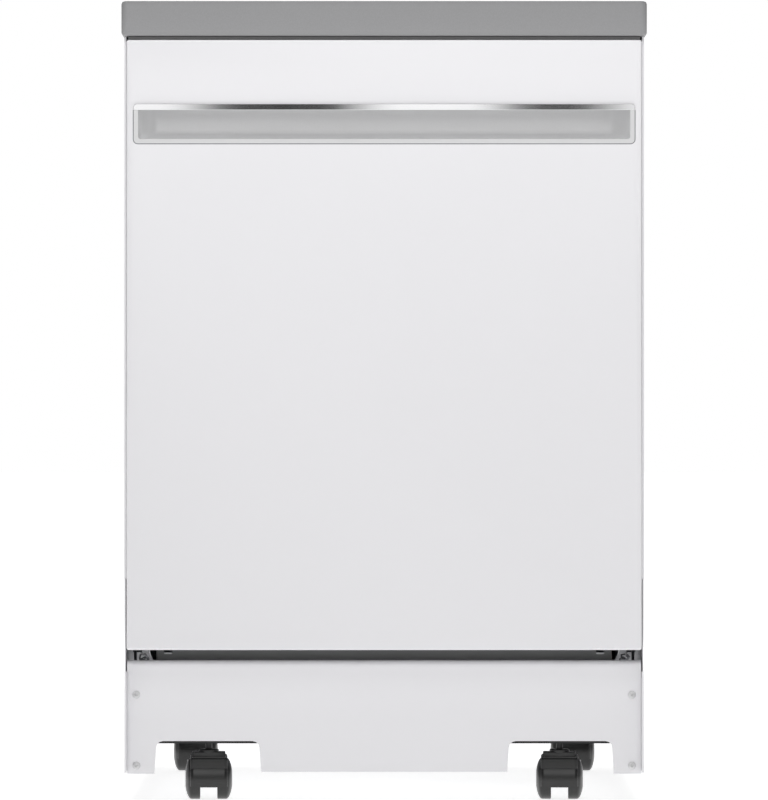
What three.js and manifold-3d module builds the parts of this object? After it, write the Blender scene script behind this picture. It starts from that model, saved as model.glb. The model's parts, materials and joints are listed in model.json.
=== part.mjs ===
// A 24-inch portable dishwasher on four casters, with a laminate worktop, a hidden-control
// door with a full-width pocket handle, a stainless tub, two wire racks and its spray system.
// Millimetres. +Z is up, the door faces -Y, +X is to the right of someone facing the door.
// The origin is on the floor, under the middle of the worktop.

import * as THREE from "three";
import { ConvexGeometry } from "three/addons/geometries/ConvexGeometry.js";
import { mergeVertices } from "three/addons/utils/BufferGeometryUtils.js";
import Module from "manifold-3d";

const wasm = await Module();
wasm.setup();

// ---------------------------------------------------------------- driving dimensions

// Whole machine
const overallHeight = 950;
const topWidth = 622;
const topDepth = 710;
const topThickness = 41;
const topEdge = 3.5; // eased edge all round the worktop
const topCornerRadius = 4;
const frontOverhang = 5; // worktop beyond the door's face
const rearOverhang = 10; // worktop beyond the back panel
const cabinetWidth = 616;
const seat = 0.3; // gap left between two pieces that touch
const sheet = 1.2; // painted sheet steel
const stainless = 1; // tub and inner door
const grid = 1 / 64; // step between points, so that flush faces are exactly flush

// Door
const doorLift = 182; // bottom edge above the floor
const doorTopGap = 4.4; // between the worktop's underside and the door
const doorSideGap = 0.6;
const doorThickness = 58;
const doorPanDepth = 20; // folded depth of the white outer pan
const doorEdge = 2.4; // eased edge of the outer pan
const doorHem = 4.4; // return flange at the back of the pan's sides
const hingeSetback = 42; // hinge axis behind the door's face
const hingeDrop = 23.4; // hinge axis below the door's bottom edge
const hingePin = 4; // radius
const armLegHeight = 240; // top of the arm's leg above the hinge axis
const plugRise = 8; // raised middle of the inner door
const plugLift = 50; // plain band below it, which the lower rack passes over
const plugHalfWidth = 222;
const plugSlope = 10;

// Pocket handle
const bezelWidth = 593;
const bezelHeight = 46.5;
const bezelRadius = 4;
const bezelProud = 1.6;
const bezelBottomFromDoorTop = 123; // how far below the door's top edge the bezel ends
const pocketBorder = 5.4; // rim below and beside the pocket's mouth
const gripHeight = 6.8; // bright strip along the top of the pocket
const gripProud = 3;
const pocketDepth = 36;
const pocketEndSlope = 24; // how far each end wall leans in over the depth
const pocketWall = 2;
const fingerRoom = 16; // height of the hollow behind the grip

// Side panels and skirt
const skirtClearance = 36; // bottom of the panels above the floor
const panelSetback = 12; // side panels' front edge behind the door's face
const hemWidth = 9;
const hemThickness = 2.4;
const panelFlange = 18;
const hingeNotchBottom = 156;
const hingeNotchTop = 266;
const hingeNotchDepth = 10;

// Kick panel
const kickSetback = 24; // behind the door's face
const kickTopGap = 13.4; // below the door
const kickRoll = 8; // bend radius of its rolled top edge
const kickReturn = 9;
const kickFootZ = 34; // its two feet above the floor
const kickCentreLift = 2.2; // the middle stands higher than the two feet
const notchInset = 98.5; // middle of a notch inside the cabinet's side
const notchTopWidth = 122.5;
const notchBottomWidth = 126.5;
const notchHeight = 38.9; // above the feet
const notchRadius = 8;

// Base frame
const frameBottom = 69.5;
const frameSteel = 2;
const railFlange = 25;
const crossRailWidth = 62;
const sideRailWidth = 46;
const railRise = 0.8; // side rails above the underside of the cross rails
const postSize = 18;
const frontStemSetback = 41; // front caster stems behind the skirt
const rearStemSetback = 110; // rear ones ahead of the back panel
const rearStemInset = 65; // and inside the cabinet's sides

// Tub
const tubHalfWidth = 280; // inside
const tubFloor = 160;
const tubCeilingDrop = 43; // ceiling below the worktop
const tubDepth = 546; // inside, front flange to back wall
const tubCornerRadius = 20;
const tubFlangeDrop = 6; // top of the front flange below the worktop
const tubFlangeBottom = 200;
const tubLip = 15; // upstand at the front of the floor
const tubSkirt = 18; // lip turned down at the front
const ledgeHeight = 16; // runners for the lower rack's wheels
const gasketWidth = 10;
const gasketThickness = 5.6;

// Wash system
const sumpSetback = 52; // sump's middle behind the spray arms' axis
const sumpRadius = 92;
const sumpBottom = 84;
const sumpWall = 2.5;
const postRadius = 12;
const lowerArmRadius = 226;
const upperArmRadius = 214;
const armThickness = 12;
const armHubWidth = 44;
const armHubRise = 6; // hub above the blade
const spigotRadius = 8; // where the upper arm turns
const spigotLength = 12;
const manifoldDepth = 14;
const armTipWidth = 26;
const lowerArmBottom = 189;
const filterSetback = 36; // filter cup behind the sump's middle
const filterRadius = 36;
const filterDepth = 58;
const heaterRod = 3.6;
const heaterHeight = 169;
const floatInset = [68, 70.8]; // float inside the tub's side and behind its mouth
const floatRadius = 17;
const floatHeight = 24;
const feedWidth = 36;
const feedThickness = 13;

// Racks
const rackSideRoom = 34; // between a rack and the tub's side wall
const rackFrontRoom = 22.8; // behind the tub's mouth
const rackBackRoom = 25.2;
const rackWire = 2.4; // wire radius
const rimWire = 3;
const lowerRackFloor = 222;
const lowerRackRim = 332;
const upperRackFloor = 484;
const upperRackRim = 602;
const tineHeight = 84;
const tineLean = 8;
const rackWheelRadius = 18;
const rackWheelWidth = 8;
const rackWheelRoom = 22; // middle of a wheel to the tub's side wall
const trackHeight = 22;
const trackDepth = 15;
const trackZ = 572; // middle of the upper rack's tracks
const rollerSetbacks = [86, 30]; // rollers ahead of the rack's back

// Cutlery basket
const basketSize = [88, 232, 112];
const basketWall = 2.2;
const basketCells = 4;

// Detergent dispenser, between the two racks
const dispenserSize = [160, 82];
const dispenserZ = 386;
const dispenserProud = 4;
const cupSize = [66, 56];
const cupDepth = 24;
const flapThickness = 2.6;
const rinseCapRadius = 16;

// Controls, on the door's top edge
const controlHeight = 36;
const buttonSize = [26, 11];
const buttonInsets = [98, 140, 182]; // the left three, inside the cabinet's side
const startInset = 158; // the right one
const buttonProud = 0.6;
const strikeBump = 1; // on the door's strike, which the catch rides over

// Hose and cord storage at the back
const binWidth = 300;
const binHeight = 200;
const binDepth = 72;
const binBottom = 560;
const binWall = 2;
const binRim = 12;

// Casters, as seen from the side: the stem leads and the wheels trail
const wheelRadius = 25;
const wheelWidth = 17.4;
const wheelDome = [6.6, 12]; // rounding of a wheel's outer edge, across and in radius
const wheelGap = 20.4;
const wheelSides = 20;
const axleRadius = 3;
const casterTrail = 20;
const stemRadius = 4;
const hoodWidth = 44.5;
const hoodInner = 27;
const hoodOuter = 29.6;
const hoodLipHeight = 15.6;
const shoulderWidth = 39.2;
const shoulderReach = 12.4; // ahead of and behind the stem
const shoulderZ = [53.6, 58]; // square shoulder round the stem
const hoodCollarZ = 61.2;
const collarRadius = 12;
const frontYaw = 2; // the front casters are turned a little

// ---------------------------------------------------------------- derived places

const halfCabinet = cabinetWidth / 2;
const innerCabinet = halfCabinet - sheet - seat; // half the room between the side panels
const underTop = overallHeight - topThickness;
const topFrontY = -topDepth / 2;
const doorFaceY = topFrontY + frontOverhang;
const doorBackY = doorFaceY + doorThickness;
const doorTopZ = underTop - doorTopGap;
const doorBottomZ = doorLift;
const doorHalfWidth = halfCabinet - hemThickness - doorSideGap;
const hingeY = doorFaceY + hingeSetback;
const hingeZ = doorBottomZ - hingeDrop;
const backY = topDepth / 2 - rearOverhang;
const panelFrontY = doorFaceY + panelSetback;
const panelTopZ = underTop - seat;
const kickY = doorFaceY + kickSetback;
const kickTopZ = doorBottomZ - kickTopGap;
const tubFrontY = doorBackY + seat + gasketThickness + seat + stainless; // behind the flange
const tubBackY = tubFrontY + tubDepth;
const tubCeiling = underTop - tubCeilingDrop;
const tubFlangeTop = underTop - tubFlangeDrop;
const armCentreY = tubFrontY + tubDepth / 2; // both spray arms turn about this line
const sumpCentreY = armCentreY + sumpSetback;
const filterY = sumpCentreY + filterSetback;
const floatX = -tubHalfWidth + floatInset[0];
const floatY = tubFrontY + floatInset[1];
const rackHalfWidth = tubHalfWidth - rackSideRoom;
const rackFront = tubFrontY + rackFrontRoom;
const rackBack = tubBackY - rackBackRoom;
const rackWheelX = tubHalfWidth - rackWheelRoom;
const rackRollerYs = rollerSetbacks.map((ahead) => rackBack - ahead);
const innerBottomZ = doorBottomZ + 8;
const controlBottomZ = doorTopZ - controlHeight;
const innerTopZ = controlBottomZ - seat;
const innerHalfWidth = doorHalfWidth - stainless - doorHem - seat + 1;
const plugFaceY = doorBackY + plugRise;
const bezelBottomZ = doorTopZ - bezelBottomFromDoorTop;
const bezelTopZ = bezelBottomZ + bezelHeight;
const mouthBottomZ = bezelBottomZ + pocketBorder;
const mouthTopZ = bezelTopZ - gripHeight;
const mouthHalfWidth = bezelWidth / 2 - pocketBorder;
const armPlateX = [295.5, 298.5]; // hinge arm, between tub and side panel
const hingePlateX = [301.5, 304.5]; // frame bracket that holds the hinge pin
const springX = 291; // the springs run beside the arms
const springHook = [hingeY + 25, hingeZ + 20];
const springAnchor = [backY - rearStemSetback - 125, frameBottom + 51.5];
const springPin = 2.2;
const ledgeTop = tubFloor + ledgeHeight;
const rackWheelZ = ledgeTop + seat + rackWheelRadius;
const manifoldTop = upperRackFloor - rackWire - seat;
const manifoldBottom = manifoldTop - manifoldDepth;
const buttonXs = [...buttonInsets.map((inset) => inset - halfCabinet), halfCabinet - startInset];
const notchCentre = halfCabinet - notchInset;
const stemTop = frameBottom + railFlange;
const frontStemY = kickY + frontStemSetback;
const rearStemY = backY - rearStemSetback;
const rearStemX = halfCabinet - rearStemInset;
const casters = [
  { name: "front_left", x: -notchCentre, y: frontStemY, yaw: frontYaw },
  { name: "front_right", x: notchCentre, y: frontStemY, yaw: -frontYaw },
  { name: "rear_left", x: -rearStemX, y: rearStemY, yaw: 0 },
  { name: "rear_right", x: rearStemX, y: rearStemY, yaw: 0 },
];

// ---------------------------------------------------------------- materials

function finish(color, roughness, metalness = 0) {
  return new THREE.MeshStandardMaterial({ color, roughness, metalness });
}
const whitePaint = finish(0xededee, 0.38);
const greyLaminate = finish(0x8f8f8f, 0.6);
const blackPlastic = finish(0x26262a, 0.5);
const casterPlastic = finish(0x343432, 0.42);
const silverPlastic = finish(0xc4c4c5, 0.4, 0.2);
const chrome = finish(0xe8e8e8, 0.08, 1);
const tubSteel = finish(0xb9bbbd, 0.3, 1);
const zincSteel = finish(0x8d9092, 0.45, 1);
const blackSteel = finish(0x2a2a2b, 0.5, 0.4);
const coatedWire = finish(0x9a9da1, 0.45);
const greyPlastic = finish(0x9fa2a5, 0.55);
const rubber = finish(0x1d1d1f, 0.8);
const boardGreen = finish(0x2f5d3a, 0.6);

// ---------------------------------------------------------------- shape tools

// A closed geometry as a solid, whichever way round its faces were listed. Its points are
// put on a fine binary grid, so that faces meant to be flush are exactly flush.
function solid(geometry) {
  const bare = new THREE.BufferGeometry();
  const flat = geometry.index ? geometry.toNonIndexed() : geometry;
  const points = flat.getAttribute("position").clone();
  points.array = points.array.map((v) => Math.round(v / grid) * grid);
  bare.setAttribute("position", points);
  const merged = mergeVertices(bare, 1e-4);
  const position = merged.attributes.position.array;
  const faces = [];
  const all = merged.index.array;
  for (let i = 0; i < all.length; i += 3) {
    const [a, b, c] = [all[i], all[i + 1], all[i + 2]];
    if (a !== b && b !== c && a !== c) faces.push(a, b, c);
  }
  const build = (list) =>
    new wasm.Manifold(
      new wasm.Mesh({ numProp: 3, vertProperties: position, triVerts: new Uint32Array(list) }),
    );
  const made = build(faces);
  if (made.volume() > 0) return made;
  const turned = [];
  for (let i = 0; i < faces.length; i += 3) turned.push(faces[i], faces[i + 2], faces[i + 1]);
  return build(turned);
}

function join(...pieces) {
  return pieces.flat().reduce((whole, piece) => whole.add(piece));
}

function cut(whole, ...pieces) {
  return pieces.flat().reduce((left, piece) => left.subtract(piece), whole);
}

// A named mesh made from a solid.
function part(name, made, material) {
  const { numProp, numVert, vertProperties, triVerts } = made.getMesh();
  const position = new Float32Array(numVert * 3);
  for (let i = 0; i < numVert; i++) {
    position.set(vertProperties.subarray(i * numProp, i * numProp + 3), i * 3);
  }
  const geometry = new THREE.BufferGeometry();
  geometry.setAttribute("position", new THREE.BufferAttribute(position, 3));
  geometry.setIndex(new THREE.BufferAttribute(triVerts.slice(), 1));
  geometry.computeVertexNormals();
  const mesh = new THREE.Mesh(geometry, material);
  mesh.name = name;
  return mesh;
}

function group(...children) {
  const made = new THREE.Group();
  made.add(...children.flat());
  return made;
}

// A box between two limits on each axis, given in either order.
function block(xs, ys, zs) {
  const low = [xs, ys, zs].map(([a, b]) => Math.min(a, b));
  const size = [xs, ys, zs].map(([a, b]) => Math.abs(b - a));
  const box = new THREE.BoxGeometry(...size);
  box.translate(...low.map((v, i) => v + size[i] / 2));
  return solid(box);
}

function hull(points) {
  return solid(new ConvexGeometry(points.map(([x, y, z]) => new THREE.Vector3(x, y, z))));
}

function outline(points) {
  return new THREE.Shape(points.map(([u, v]) => new THREE.Vector2(u, v)));
}

function roundedRect([u0, u1], [v0, v1], radius) {
  const shape = new THREE.Shape();
  shape.moveTo(u0 + radius, v0);
  shape.lineTo(u1 - radius, v0);
  shape.absarc(u1 - radius, v0 + radius, radius, -Math.PI / 2, 0);
  shape.lineTo(u1, v1 - radius);
  shape.absarc(u1 - radius, v1 - radius, radius, 0, Math.PI / 2);
  shape.lineTo(u0 + radius, v1);
  shape.absarc(u0 + radius, v1 - radius, radius, Math.PI / 2, Math.PI);
  shape.lineTo(u0, v0 + radius);
  shape.absarc(u0 + radius, v0 + radius, radius, Math.PI, 1.5 * Math.PI);
  return shape;
}

function circle(u, v, radius) {
  return new THREE.Shape().absarc(u, v, radius, 0, 2 * Math.PI);
}

const onX = new THREE.Matrix4().makeBasis(
  new THREE.Vector3(0, 1, 0),
  new THREE.Vector3(0, 0, 1),
  new THREE.Vector3(1, 0, 0),
);
const onY = new THREE.Matrix4().makeBasis(
  new THREE.Vector3(1, 0, 0),
  new THREE.Vector3(0, 0, 1),
  new THREE.Vector3(0, -1, 0),
);

function extruded(shape, length, segments) {
  return new THREE.ExtrudeGeometry(shape, {
    depth: length,
    bevelEnabled: false,
    curveSegments: segments,
  });
}

// A shape drawn in (y, z), drawn out along X.
function alongX(shape, [a, b], segments = 4) {
  const made = extruded(shape, Math.abs(b - a), segments).applyMatrix4(onX);
  return solid(made.translate(Math.min(a, b), 0, 0));
}

// A shape drawn in (x, z), drawn out along Y.
function alongY(shape, [a, b], segments = 4) {
  const made = extruded(shape, Math.abs(b - a), segments).applyMatrix4(onY);
  return solid(made.translate(0, Math.max(a, b), 0));
}

// A shape drawn in (x, y), drawn out along Z.
function alongZ(shape, [a, b], segments = 4) {
  return solid(extruded(shape, Math.abs(b - a), segments).translate(0, 0, Math.min(a, b)));
}

// The same along Z with eased edges at both ends.
function easedAlongZ(shape, [a, b], edge, steps, segments = 3) {
  const made = new THREE.ExtrudeGeometry(shape, {
    depth: b - a - 2 * edge,
    bevelSize: edge,
    bevelThickness: edge,
    bevelOffset: -edge,
    bevelSegments: steps,
    curveSegments: segments,
  });
  return made.translate(0, 0, a + edge);
}

// A profile of [radius, height] turned about Z, then moved to a place.
function turned(profile, sides, [x, y, z] = [0, 0, 0], phase = 0) {
  const points = profile.map(([radius, height]) => new THREE.Vector2(radius, height));
  const made = new THREE.LatheGeometry(points, sides, phase).rotateX(Math.PI / 2);
  return solid(made.translate(x, y, z));
}

// A profile of [radius, distance] turned about a line along X.
function turnedOnX(profile, sides, [x, y, z], phase = 0) {
  const points = profile.map(([radius, height]) => new THREE.Vector2(radius, height));
  const made = new THREE.LatheGeometry(points, sides, phase).rotateZ(-Math.PI / 2);
  return solid(made.translate(x, y, z));
}

// A straight round bar between two points. A flat side faces up when it lies level.
function rod(from, to, radius, sides = 4) {
  const a = new THREE.Vector3(...from);
  const b = new THREE.Vector3(...to);
  const bar = new THREE.CylinderGeometry(radius, radius, a.distanceTo(b), sides);
  bar.rotateY(Math.PI / sides);
  const turn = new THREE.Quaternion().setFromUnitVectors(
    new THREE.Vector3(0, 1, 0),
    b.clone().sub(a).normalize(),
  );
  bar.applyQuaternion(turn);
  bar.translate(...a.add(b).multiplyScalar(0.5).toArray());
  return solid(bar);
}

// A round bar bent smoothly through a list of points.
function bentRod(points, radius, sides, steps) {
  const curve = new THREE.CatmullRomCurve3(points.map((p) => new THREE.Vector3(...p)));
  const section = circle(0, 0, radius);
  return solid(
    new THREE.ExtrudeGeometry(section, {
      extrudePath: curve,
      steps,
      curveSegments: sides,
      bevelEnabled: false,
    }),
  );
}

const evenly = (count, from, to) =>
  Array.from({ length: count }, (_, i) => from + ((to - from) * i) / (count - 1));
const bothSides = [
  { side: -1, label: "left" },
  { side: 1, label: "right" },
];

// ---------------------------------------------------------------- cabinet

function worktop() {
  const plan = roundedRect(
    [-topWidth / 2, topWidth / 2],
    [-topDepth / 2, topDepth / 2],
    topCornerRadius + topEdge,
  );
  return part(
    "countertop",
    solid(easedAlongZ(plan, [underTop, overallHeight], topEdge, 2)),
    greyLaminate,
  );
}

// Painted side wall, folded from one sheet: hemmed front edge, flange behind the back panel,
// a bracket for the skirt, and the clearance notch at the hinge.
function sidePanel({ side, label }) {
  const rearY = backY - sheet - seat;
  const [outer, inner, hem, flange] = [0, sheet, hemThickness, panelFlange].map(
    (depth) => side * (halfCabinet - depth),
  );
  const folded = alongZ(
    outline([
      [outer, panelFrontY],
      [hem, panelFrontY],
      [hem, panelFrontY + hemWidth],
      [inner, panelFrontY + hemWidth],
      [inner, rearY - sheet],
      [flange, rearY - sheet],
      [flange, rearY],
      [outer, rearY],
    ]),
    [skirtClearance, panelTopZ],
  );
  const bracket = block(
    [side * (halfCabinet - panelFlange - 12), side * (halfCabinet - sheet / 2)],
    [kickY + sheet + seat, kickY + 2 * sheet + seat],
    [skirtClearance + 3, hingeNotchBottom - 8],
  );
  const notch = block(
    [side * (halfCabinet - hemThickness - 1), side * (halfCabinet + 1)],
    [panelFrontY - 1, panelFrontY + hingeNotchDepth],
    [hingeNotchBottom, hingeNotchTop],
  );
  return part("side_panel_" + label, cut(join(folded, bracket), notch), whitePaint);
}

// Back sheet with the storage opening and two pressed stiffening beads.
function backPanel() {
  const bottom = frameBottom + 4;
  const skin = block([-halfCabinet, halfCabinet], [backY - sheet, backY], [bottom, panelTopZ]);
  const opening = alongY(
    roundedRect([-binWidth / 2, binWidth / 2], [binBottom, binBottom + binHeight], 10),
    [backY - sheet - 1, backY + 1],
  );
  const beadTop = binBottom - 60;
  const beads = [-1, 1].map((side) =>
    hull([
      ...[bottom + 60, beadTop].flatMap((z) => [
        [side * 160, backY - 0.2, z],
        [side * 190, backY - 0.2, z],
      ]),
      ...[bottom + 70, beadTop - 10].flatMap((z) => [
        [side * 169, backY + 3, z],
        [side * 181, backY + 3, z],
      ]),
    ]),
  );
  return part("back_panel", cut(join(skin, beads), opening), whitePaint);
}

// One edge of the skirt's outline, with its notch for a caster, for x on one side.
function notchPoints(side) {
  const bottom = kickFootZ + kickCentreLift;
  const top = kickFootZ + notchHeight;
  const lean = (notchBottomWidth - notchTopWidth) / 2;
  const corner = (x, from, to) =>
    evenly(4, from, to).map((turn) => [
      side * (x + notchRadius * Math.cos(turn)),
      top - notchRadius + notchRadius * Math.sin(turn),
    ]);
  const inner = notchCentre - notchTopWidth / 2;
  const outer = notchCentre + notchTopWidth / 2;
  return [
    [side * (inner - lean), bottom],
    ...corner(inner + notchRadius, Math.PI, Math.PI / 2),
    ...corner(outer - notchRadius, Math.PI / 2, 0),
    [side * (outer + lean), kickFootZ],
  ];
}

// Skirt under the door: two caster notches, and a top edge rolled back.
function kickPanel() {
  const half = halfCabinet - hemThickness - seat;
  const foot = kickFootZ;
  const right = notchPoints(1);
  const left = notchPoints(-1).reverse();
  const face = alongY(
    outline([
      [-half, foot],
      ...left,
      ...right,
      [half, foot],
      [half, kickTopZ - kickRoll],
      [-half, kickTopZ - kickRoll],
    ]),
    [kickY, kickY + sheet],
  );
  const rollCentre = [kickY + kickRoll, kickTopZ - kickRoll];
  const bend = (radius) =>
    evenly(5, Math.PI, Math.PI / 2).map((turn) => [
      rollCentre[0] + radius * Math.cos(turn),
      rollCentre[1] + radius * Math.sin(turn),
    ]);
  const roll = alongX(
    outline([
      [kickY, kickTopZ - kickRoll - 0.5],
      ...bend(kickRoll),
      [kickY + kickReturn, kickTopZ],
      [kickY + kickReturn, kickTopZ - sheet],
      ...bend(kickRoll - sheet).reverse(),
      [kickY + sheet, kickTopZ - kickRoll - 0.5],
    ]),
    [-half, half],
  );
  return part("kick_panel", join(face, roll), whitePaint);
}

// Channel rails, hinge brackets with their pins, tub posts, spring posts and caster stems.
function baseFrame() {
  const half = innerCabinet - 0.4;
  const top = frameBottom + railFlange;
  const webTop = frameBottom + frameSteel;
  const crossRail = (y) => {
    const [near, far] = [y - crossRailWidth / 2, y + crossRailWidth / 2];
    const channel = outline([
      [near, top],
      [near, frameBottom],
      [far, frameBottom],
      [far, top],
      [far - frameSteel, top],
      [far - frameSteel, webTop],
      [near + frameSteel, webTop],
      [near + frameSteel, top],
    ]);
    return alongX(channel, [-half, half]);
  };
  const pieces = [crossRail(frontStemY), crossRail(rearStemY)];
  for (const { side } of bothSides) {
    // Side rail: an angle let into the channels, just over their webs.
    const railX = side * (half - 0.6);
    const low = frameBottom + railRise;
    const angle = outline([
      [railX, low],
      [railX, top - 2],
      [railX - side * frameSteel, top - 2],
      [railX - side * frameSteel, low + frameSteel],
      [railX - side * sideRailWidth, low + frameSteel],
      [railX - side * sideRailWidth, low],
    ]);
    pieces.push(alongY(angle, [frontStemY + 3, rearStemY - 3]));
    pieces.push(
      block(
        hingePlateX.map((x) => side * x),
        [hingeY - 12, hingeY + 26],
        [frameBottom + 1.4, hingeZ + 8],
      ),
      rod(
        [side * (hingePlateX[1] - 0.8), hingeY, hingeZ],
        [side * (armPlateX[0] - 1.5), hingeY, hingeZ],
        hingePin,
        12,
      ),
      rod(
        [side * (armPlateX[0] - seat), hingeY, hingeZ],
        [side * (armPlateX[0] - 2), hingeY, hingeZ],
        hingePin + 2,
        12,
      ),
    );
    // Posts that carry the tub: one near each corner.
    const postX = side * (half - sideRailWidth + 4);
    for (const y of [frontStemY + 44, rearStemY - 24 - crossRailWidth / 2]) {
      pieces.push(
        block(
          [postX, postX + side * postSize],
          [y, y + postSize],
          [low + 0.5, tubFloor - stainless - seat],
        ),
      );
    }
    // Post that the door spring hooks to.
    const [anchorY, anchorZ] = springAnchor;
    const post = block(
      [side * armPlateX[0], side * armPlateX[1]],
      [anchorY - 7, anchorY + 7],
      [low + 0.5, anchorZ + 6],
    );
    const eye = rod(
      [side * (armPlateX[0] - 1), anchorY, anchorZ],
      [side * (armPlateX[1] + 1), anchorY, anchorZ],
      springPin + 0.8,
      8,
    );
    pieces.push(cut(post, eye));
  }
  for (const { x, y } of casters) {
    pieces.push(rod([x, y, shoulderZ[0] - 3], [x, y, stemTop], stemRadius, 10));
  }
  return part("base_frame", join(pieces), blackSteel);
}

// Angle across the top front, which ties the side panels and carries the worktop.
function topRail() {
  const frontY = tubFrontY + seat;
  const angle = outline([
    [frontY, tubCeiling + 12],
    [frontY, panelTopZ],
    [frontY + 36, panelTopZ],
    [frontY + 36, panelTopZ - sheet],
    [frontY + sheet, panelTopZ - sheet],
    [frontY + sheet, tubCeiling + 12],
  ]);
  return part("top_rail", alongX(angle, [-innerCabinet, innerCabinet]), blackPlastic);
}

// ---------------------------------------------------------------- tub

function tub() {
  const wall = stainless;
  const flangeY = [tubFrontY - wall, tubFrontY];
  const shell = (grow) =>
    roundedRect(
      [-tubHalfWidth - grow, tubHalfWidth + grow],
      [tubFloor - grow, tubCeiling + grow],
      tubCornerRadius + grow,
    );
  const outside = alongY(shell(wall), [tubFrontY, tubBackY + wall]);
  const inside = alongY(shell(0), [tubFrontY - wall - 1, tubBackY]);
  const flange = block([-innerCabinet, innerCabinet], flangeY, [tubFlangeBottom, tubFlangeTop]);
  const lipHalf = tubHalfWidth - tubCornerRadius;
  const pieces = [cut(join(outside, flange), inside)];
  pieces.push(
    block([-lipHalf, lipHalf], flangeY, [tubFloor - wall - tubSkirt, tubFloor + tubLip]),
    block([-lipHalf, lipHalf], [flangeY[0], tubFrontY + 2], [tubFloor - wall, tubFloor]),
  );
  for (const { side } of bothSides) {
    pieces.push(
      block(
        [side * (rackWheelX - 8), side * (rackWheelX + 8)],
        [tubFrontY + 1.5, tubBackY - 20],
        [tubFloor - 0.5, ledgeTop],
      ),
    );
  }
  const sumpHole = turned(
    [
      [0, tubFloor - 5],
      [sumpRadius, tubFloor - 5],
      [sumpRadius, tubFloor + 5],
      [0, tubFloor + 5],
    ],
    24,
    [0, sumpCentreY, 0],
  );
  const holes = [
    rod([floatX, floatY, tubFloor - 5], [floatX, floatY, tubFloor + 5], 4, 8),
    ...heaterEnds.map(([x, y]) => rod([x, y, tubFloor - 5], [x, y, tubFloor + 5], heaterRod + 1, 8)),
  ];
  return part("tub", cut(join(pieces), sumpHole, holes), tubSteel);
}

// Door seal round the top and sides of the tub's mouth.
function gasket() {
  const y = [doorBackY + seat, doorBackY + seat + gasketThickness];
  const outer = tubHalfWidth + 5 + gasketWidth;
  const top = tubCeiling + 5 + gasketWidth;
  const band = (half, height, radius) => {
    const shape = new THREE.Shape();
    shape.moveTo(-half, tubFlangeBottom + 5);
    shape.lineTo(half, tubFlangeBottom + 5);
    shape.lineTo(half, height - radius);
    shape.absarc(half - radius, height - radius, radius, 0, Math.PI / 2);
    shape.absarc(-half + radius, height - radius, radius, Math.PI / 2, Math.PI);
    return shape;
  };
  const whole = alongY(band(outer, top, 20), y);
  const middle = alongY(band(outer - gasketWidth, top - gasketWidth, 10), [y[0] - 1, y[1] + 1]);
  const below = block([-outer, outer], [y[0] - 1, y[1] + 1], [0, tubFlangeBottom + 5.5]);
  return part("tub_gasket", cut(whole, middle, below), rubber);
}

// ---------------------------------------------------------------- wash system

const heaterEnds = [46, -46].map((x) => [x, sumpCentreY + sumpRadius + 18]);
const screenZ = [tubFloor + seat, tubFloor + seat + 1.8];
const pumpX = sumpRadius - 4;
const pumpZ = 112;
const drainZ = 104;

// Bowl under the tub's floor, with the pump ports and the post that feeds the lower arm.
function sump() {
  const flangeTop = tubFloor - stainless - seat;
  const bowl = turned(
    [
      [0, sumpBottom],
      [62, sumpBottom],
      [sumpRadius - 8, sumpBottom + 40],
      [sumpRadius - 4, flangeTop - 3],
      [sumpRadius + 14, flangeTop - 3],
      [sumpRadius + 14, flangeTop],
      [sumpRadius - 6 - sumpWall, flangeTop],
      [sumpRadius - 8 - sumpWall, sumpBottom + 41],
      [62 - sumpWall, sumpBottom + sumpWall],
      [0, sumpBottom + sumpWall],
    ],
    18,
    [0, sumpCentreY, 0],
  );
  const ports = [
    rod([sumpRadius - 20, sumpCentreY, pumpZ], [pumpX, sumpCentreY, pumpZ], 17, 12),
    rod([-(sumpRadius - 24), sumpCentreY, drainZ], [-pumpX, sumpCentreY, drainZ], 12, 12),
  ];
  const post = join(
    rod([0, armCentreY, sumpBottom], [0, armCentreY, lowerArmBottom + 10], postRadius, 12),
    rod([0, armCentreY, lowerArmBottom - 6], [0, armCentreY, lowerArmBottom - seat], postRadius + 5, 12),
  );
  const bore = rod([0, armCentreY, sumpBottom + 36], [0, armCentreY, lowerArmBottom + 20], 7, 8);
  return part("sump", cut(join(bowl, ports, post), bore), greyPlastic);
}

// Fine filter plate over the sump, dished towards the filter cup.
function filterScreen() {
  const [low, high] = screenZ;
  const disc = turned(
    [
      [0, low],
      [sumpRadius + 8, low],
      [sumpRadius + 10, low + 0.8],
      [sumpRadius + 8, high],
      [0, high],
    ],
    24,
    [0, sumpCentreY, 0],
  );
  return part(
    "filter_screen",
    cut(
      disc,
      rod([0, filterY, low - 5], [0, filterY, high + 5], filterRadius + 1.2, 20),
      rod([0, armCentreY, low - 5], [0, armCentreY, high + 5], postRadius + 0.8, 16),
    ),
    tubSteel,
  );
}

// Twist-out coarse filter: an open cup with a rim and a finger bar across it.
function filterCup() {
  const rim = screenZ[1] + seat;
  const cup = turned(
    [
      [0, rim - filterDepth],
      [filterRadius - 3, rim - filterDepth],
      [filterRadius, rim],
      [filterRadius + 5, rim],
      [filterRadius + 5, rim + 3],
      [filterRadius - 2, rim + 3],
      [filterRadius - 5, rim - filterDepth + 2],
      [0, rim - filterDepth + 2],
    ],
    20,
    [0, filterY, 0],
  );
  const bar = block([-filterRadius + 1, filterRadius - 1], [filterY - 2, filterY + 2], [rim - 10, rim + 6]);
  return part("filter_cup", join(cup, bar), greyPlastic);
}

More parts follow.
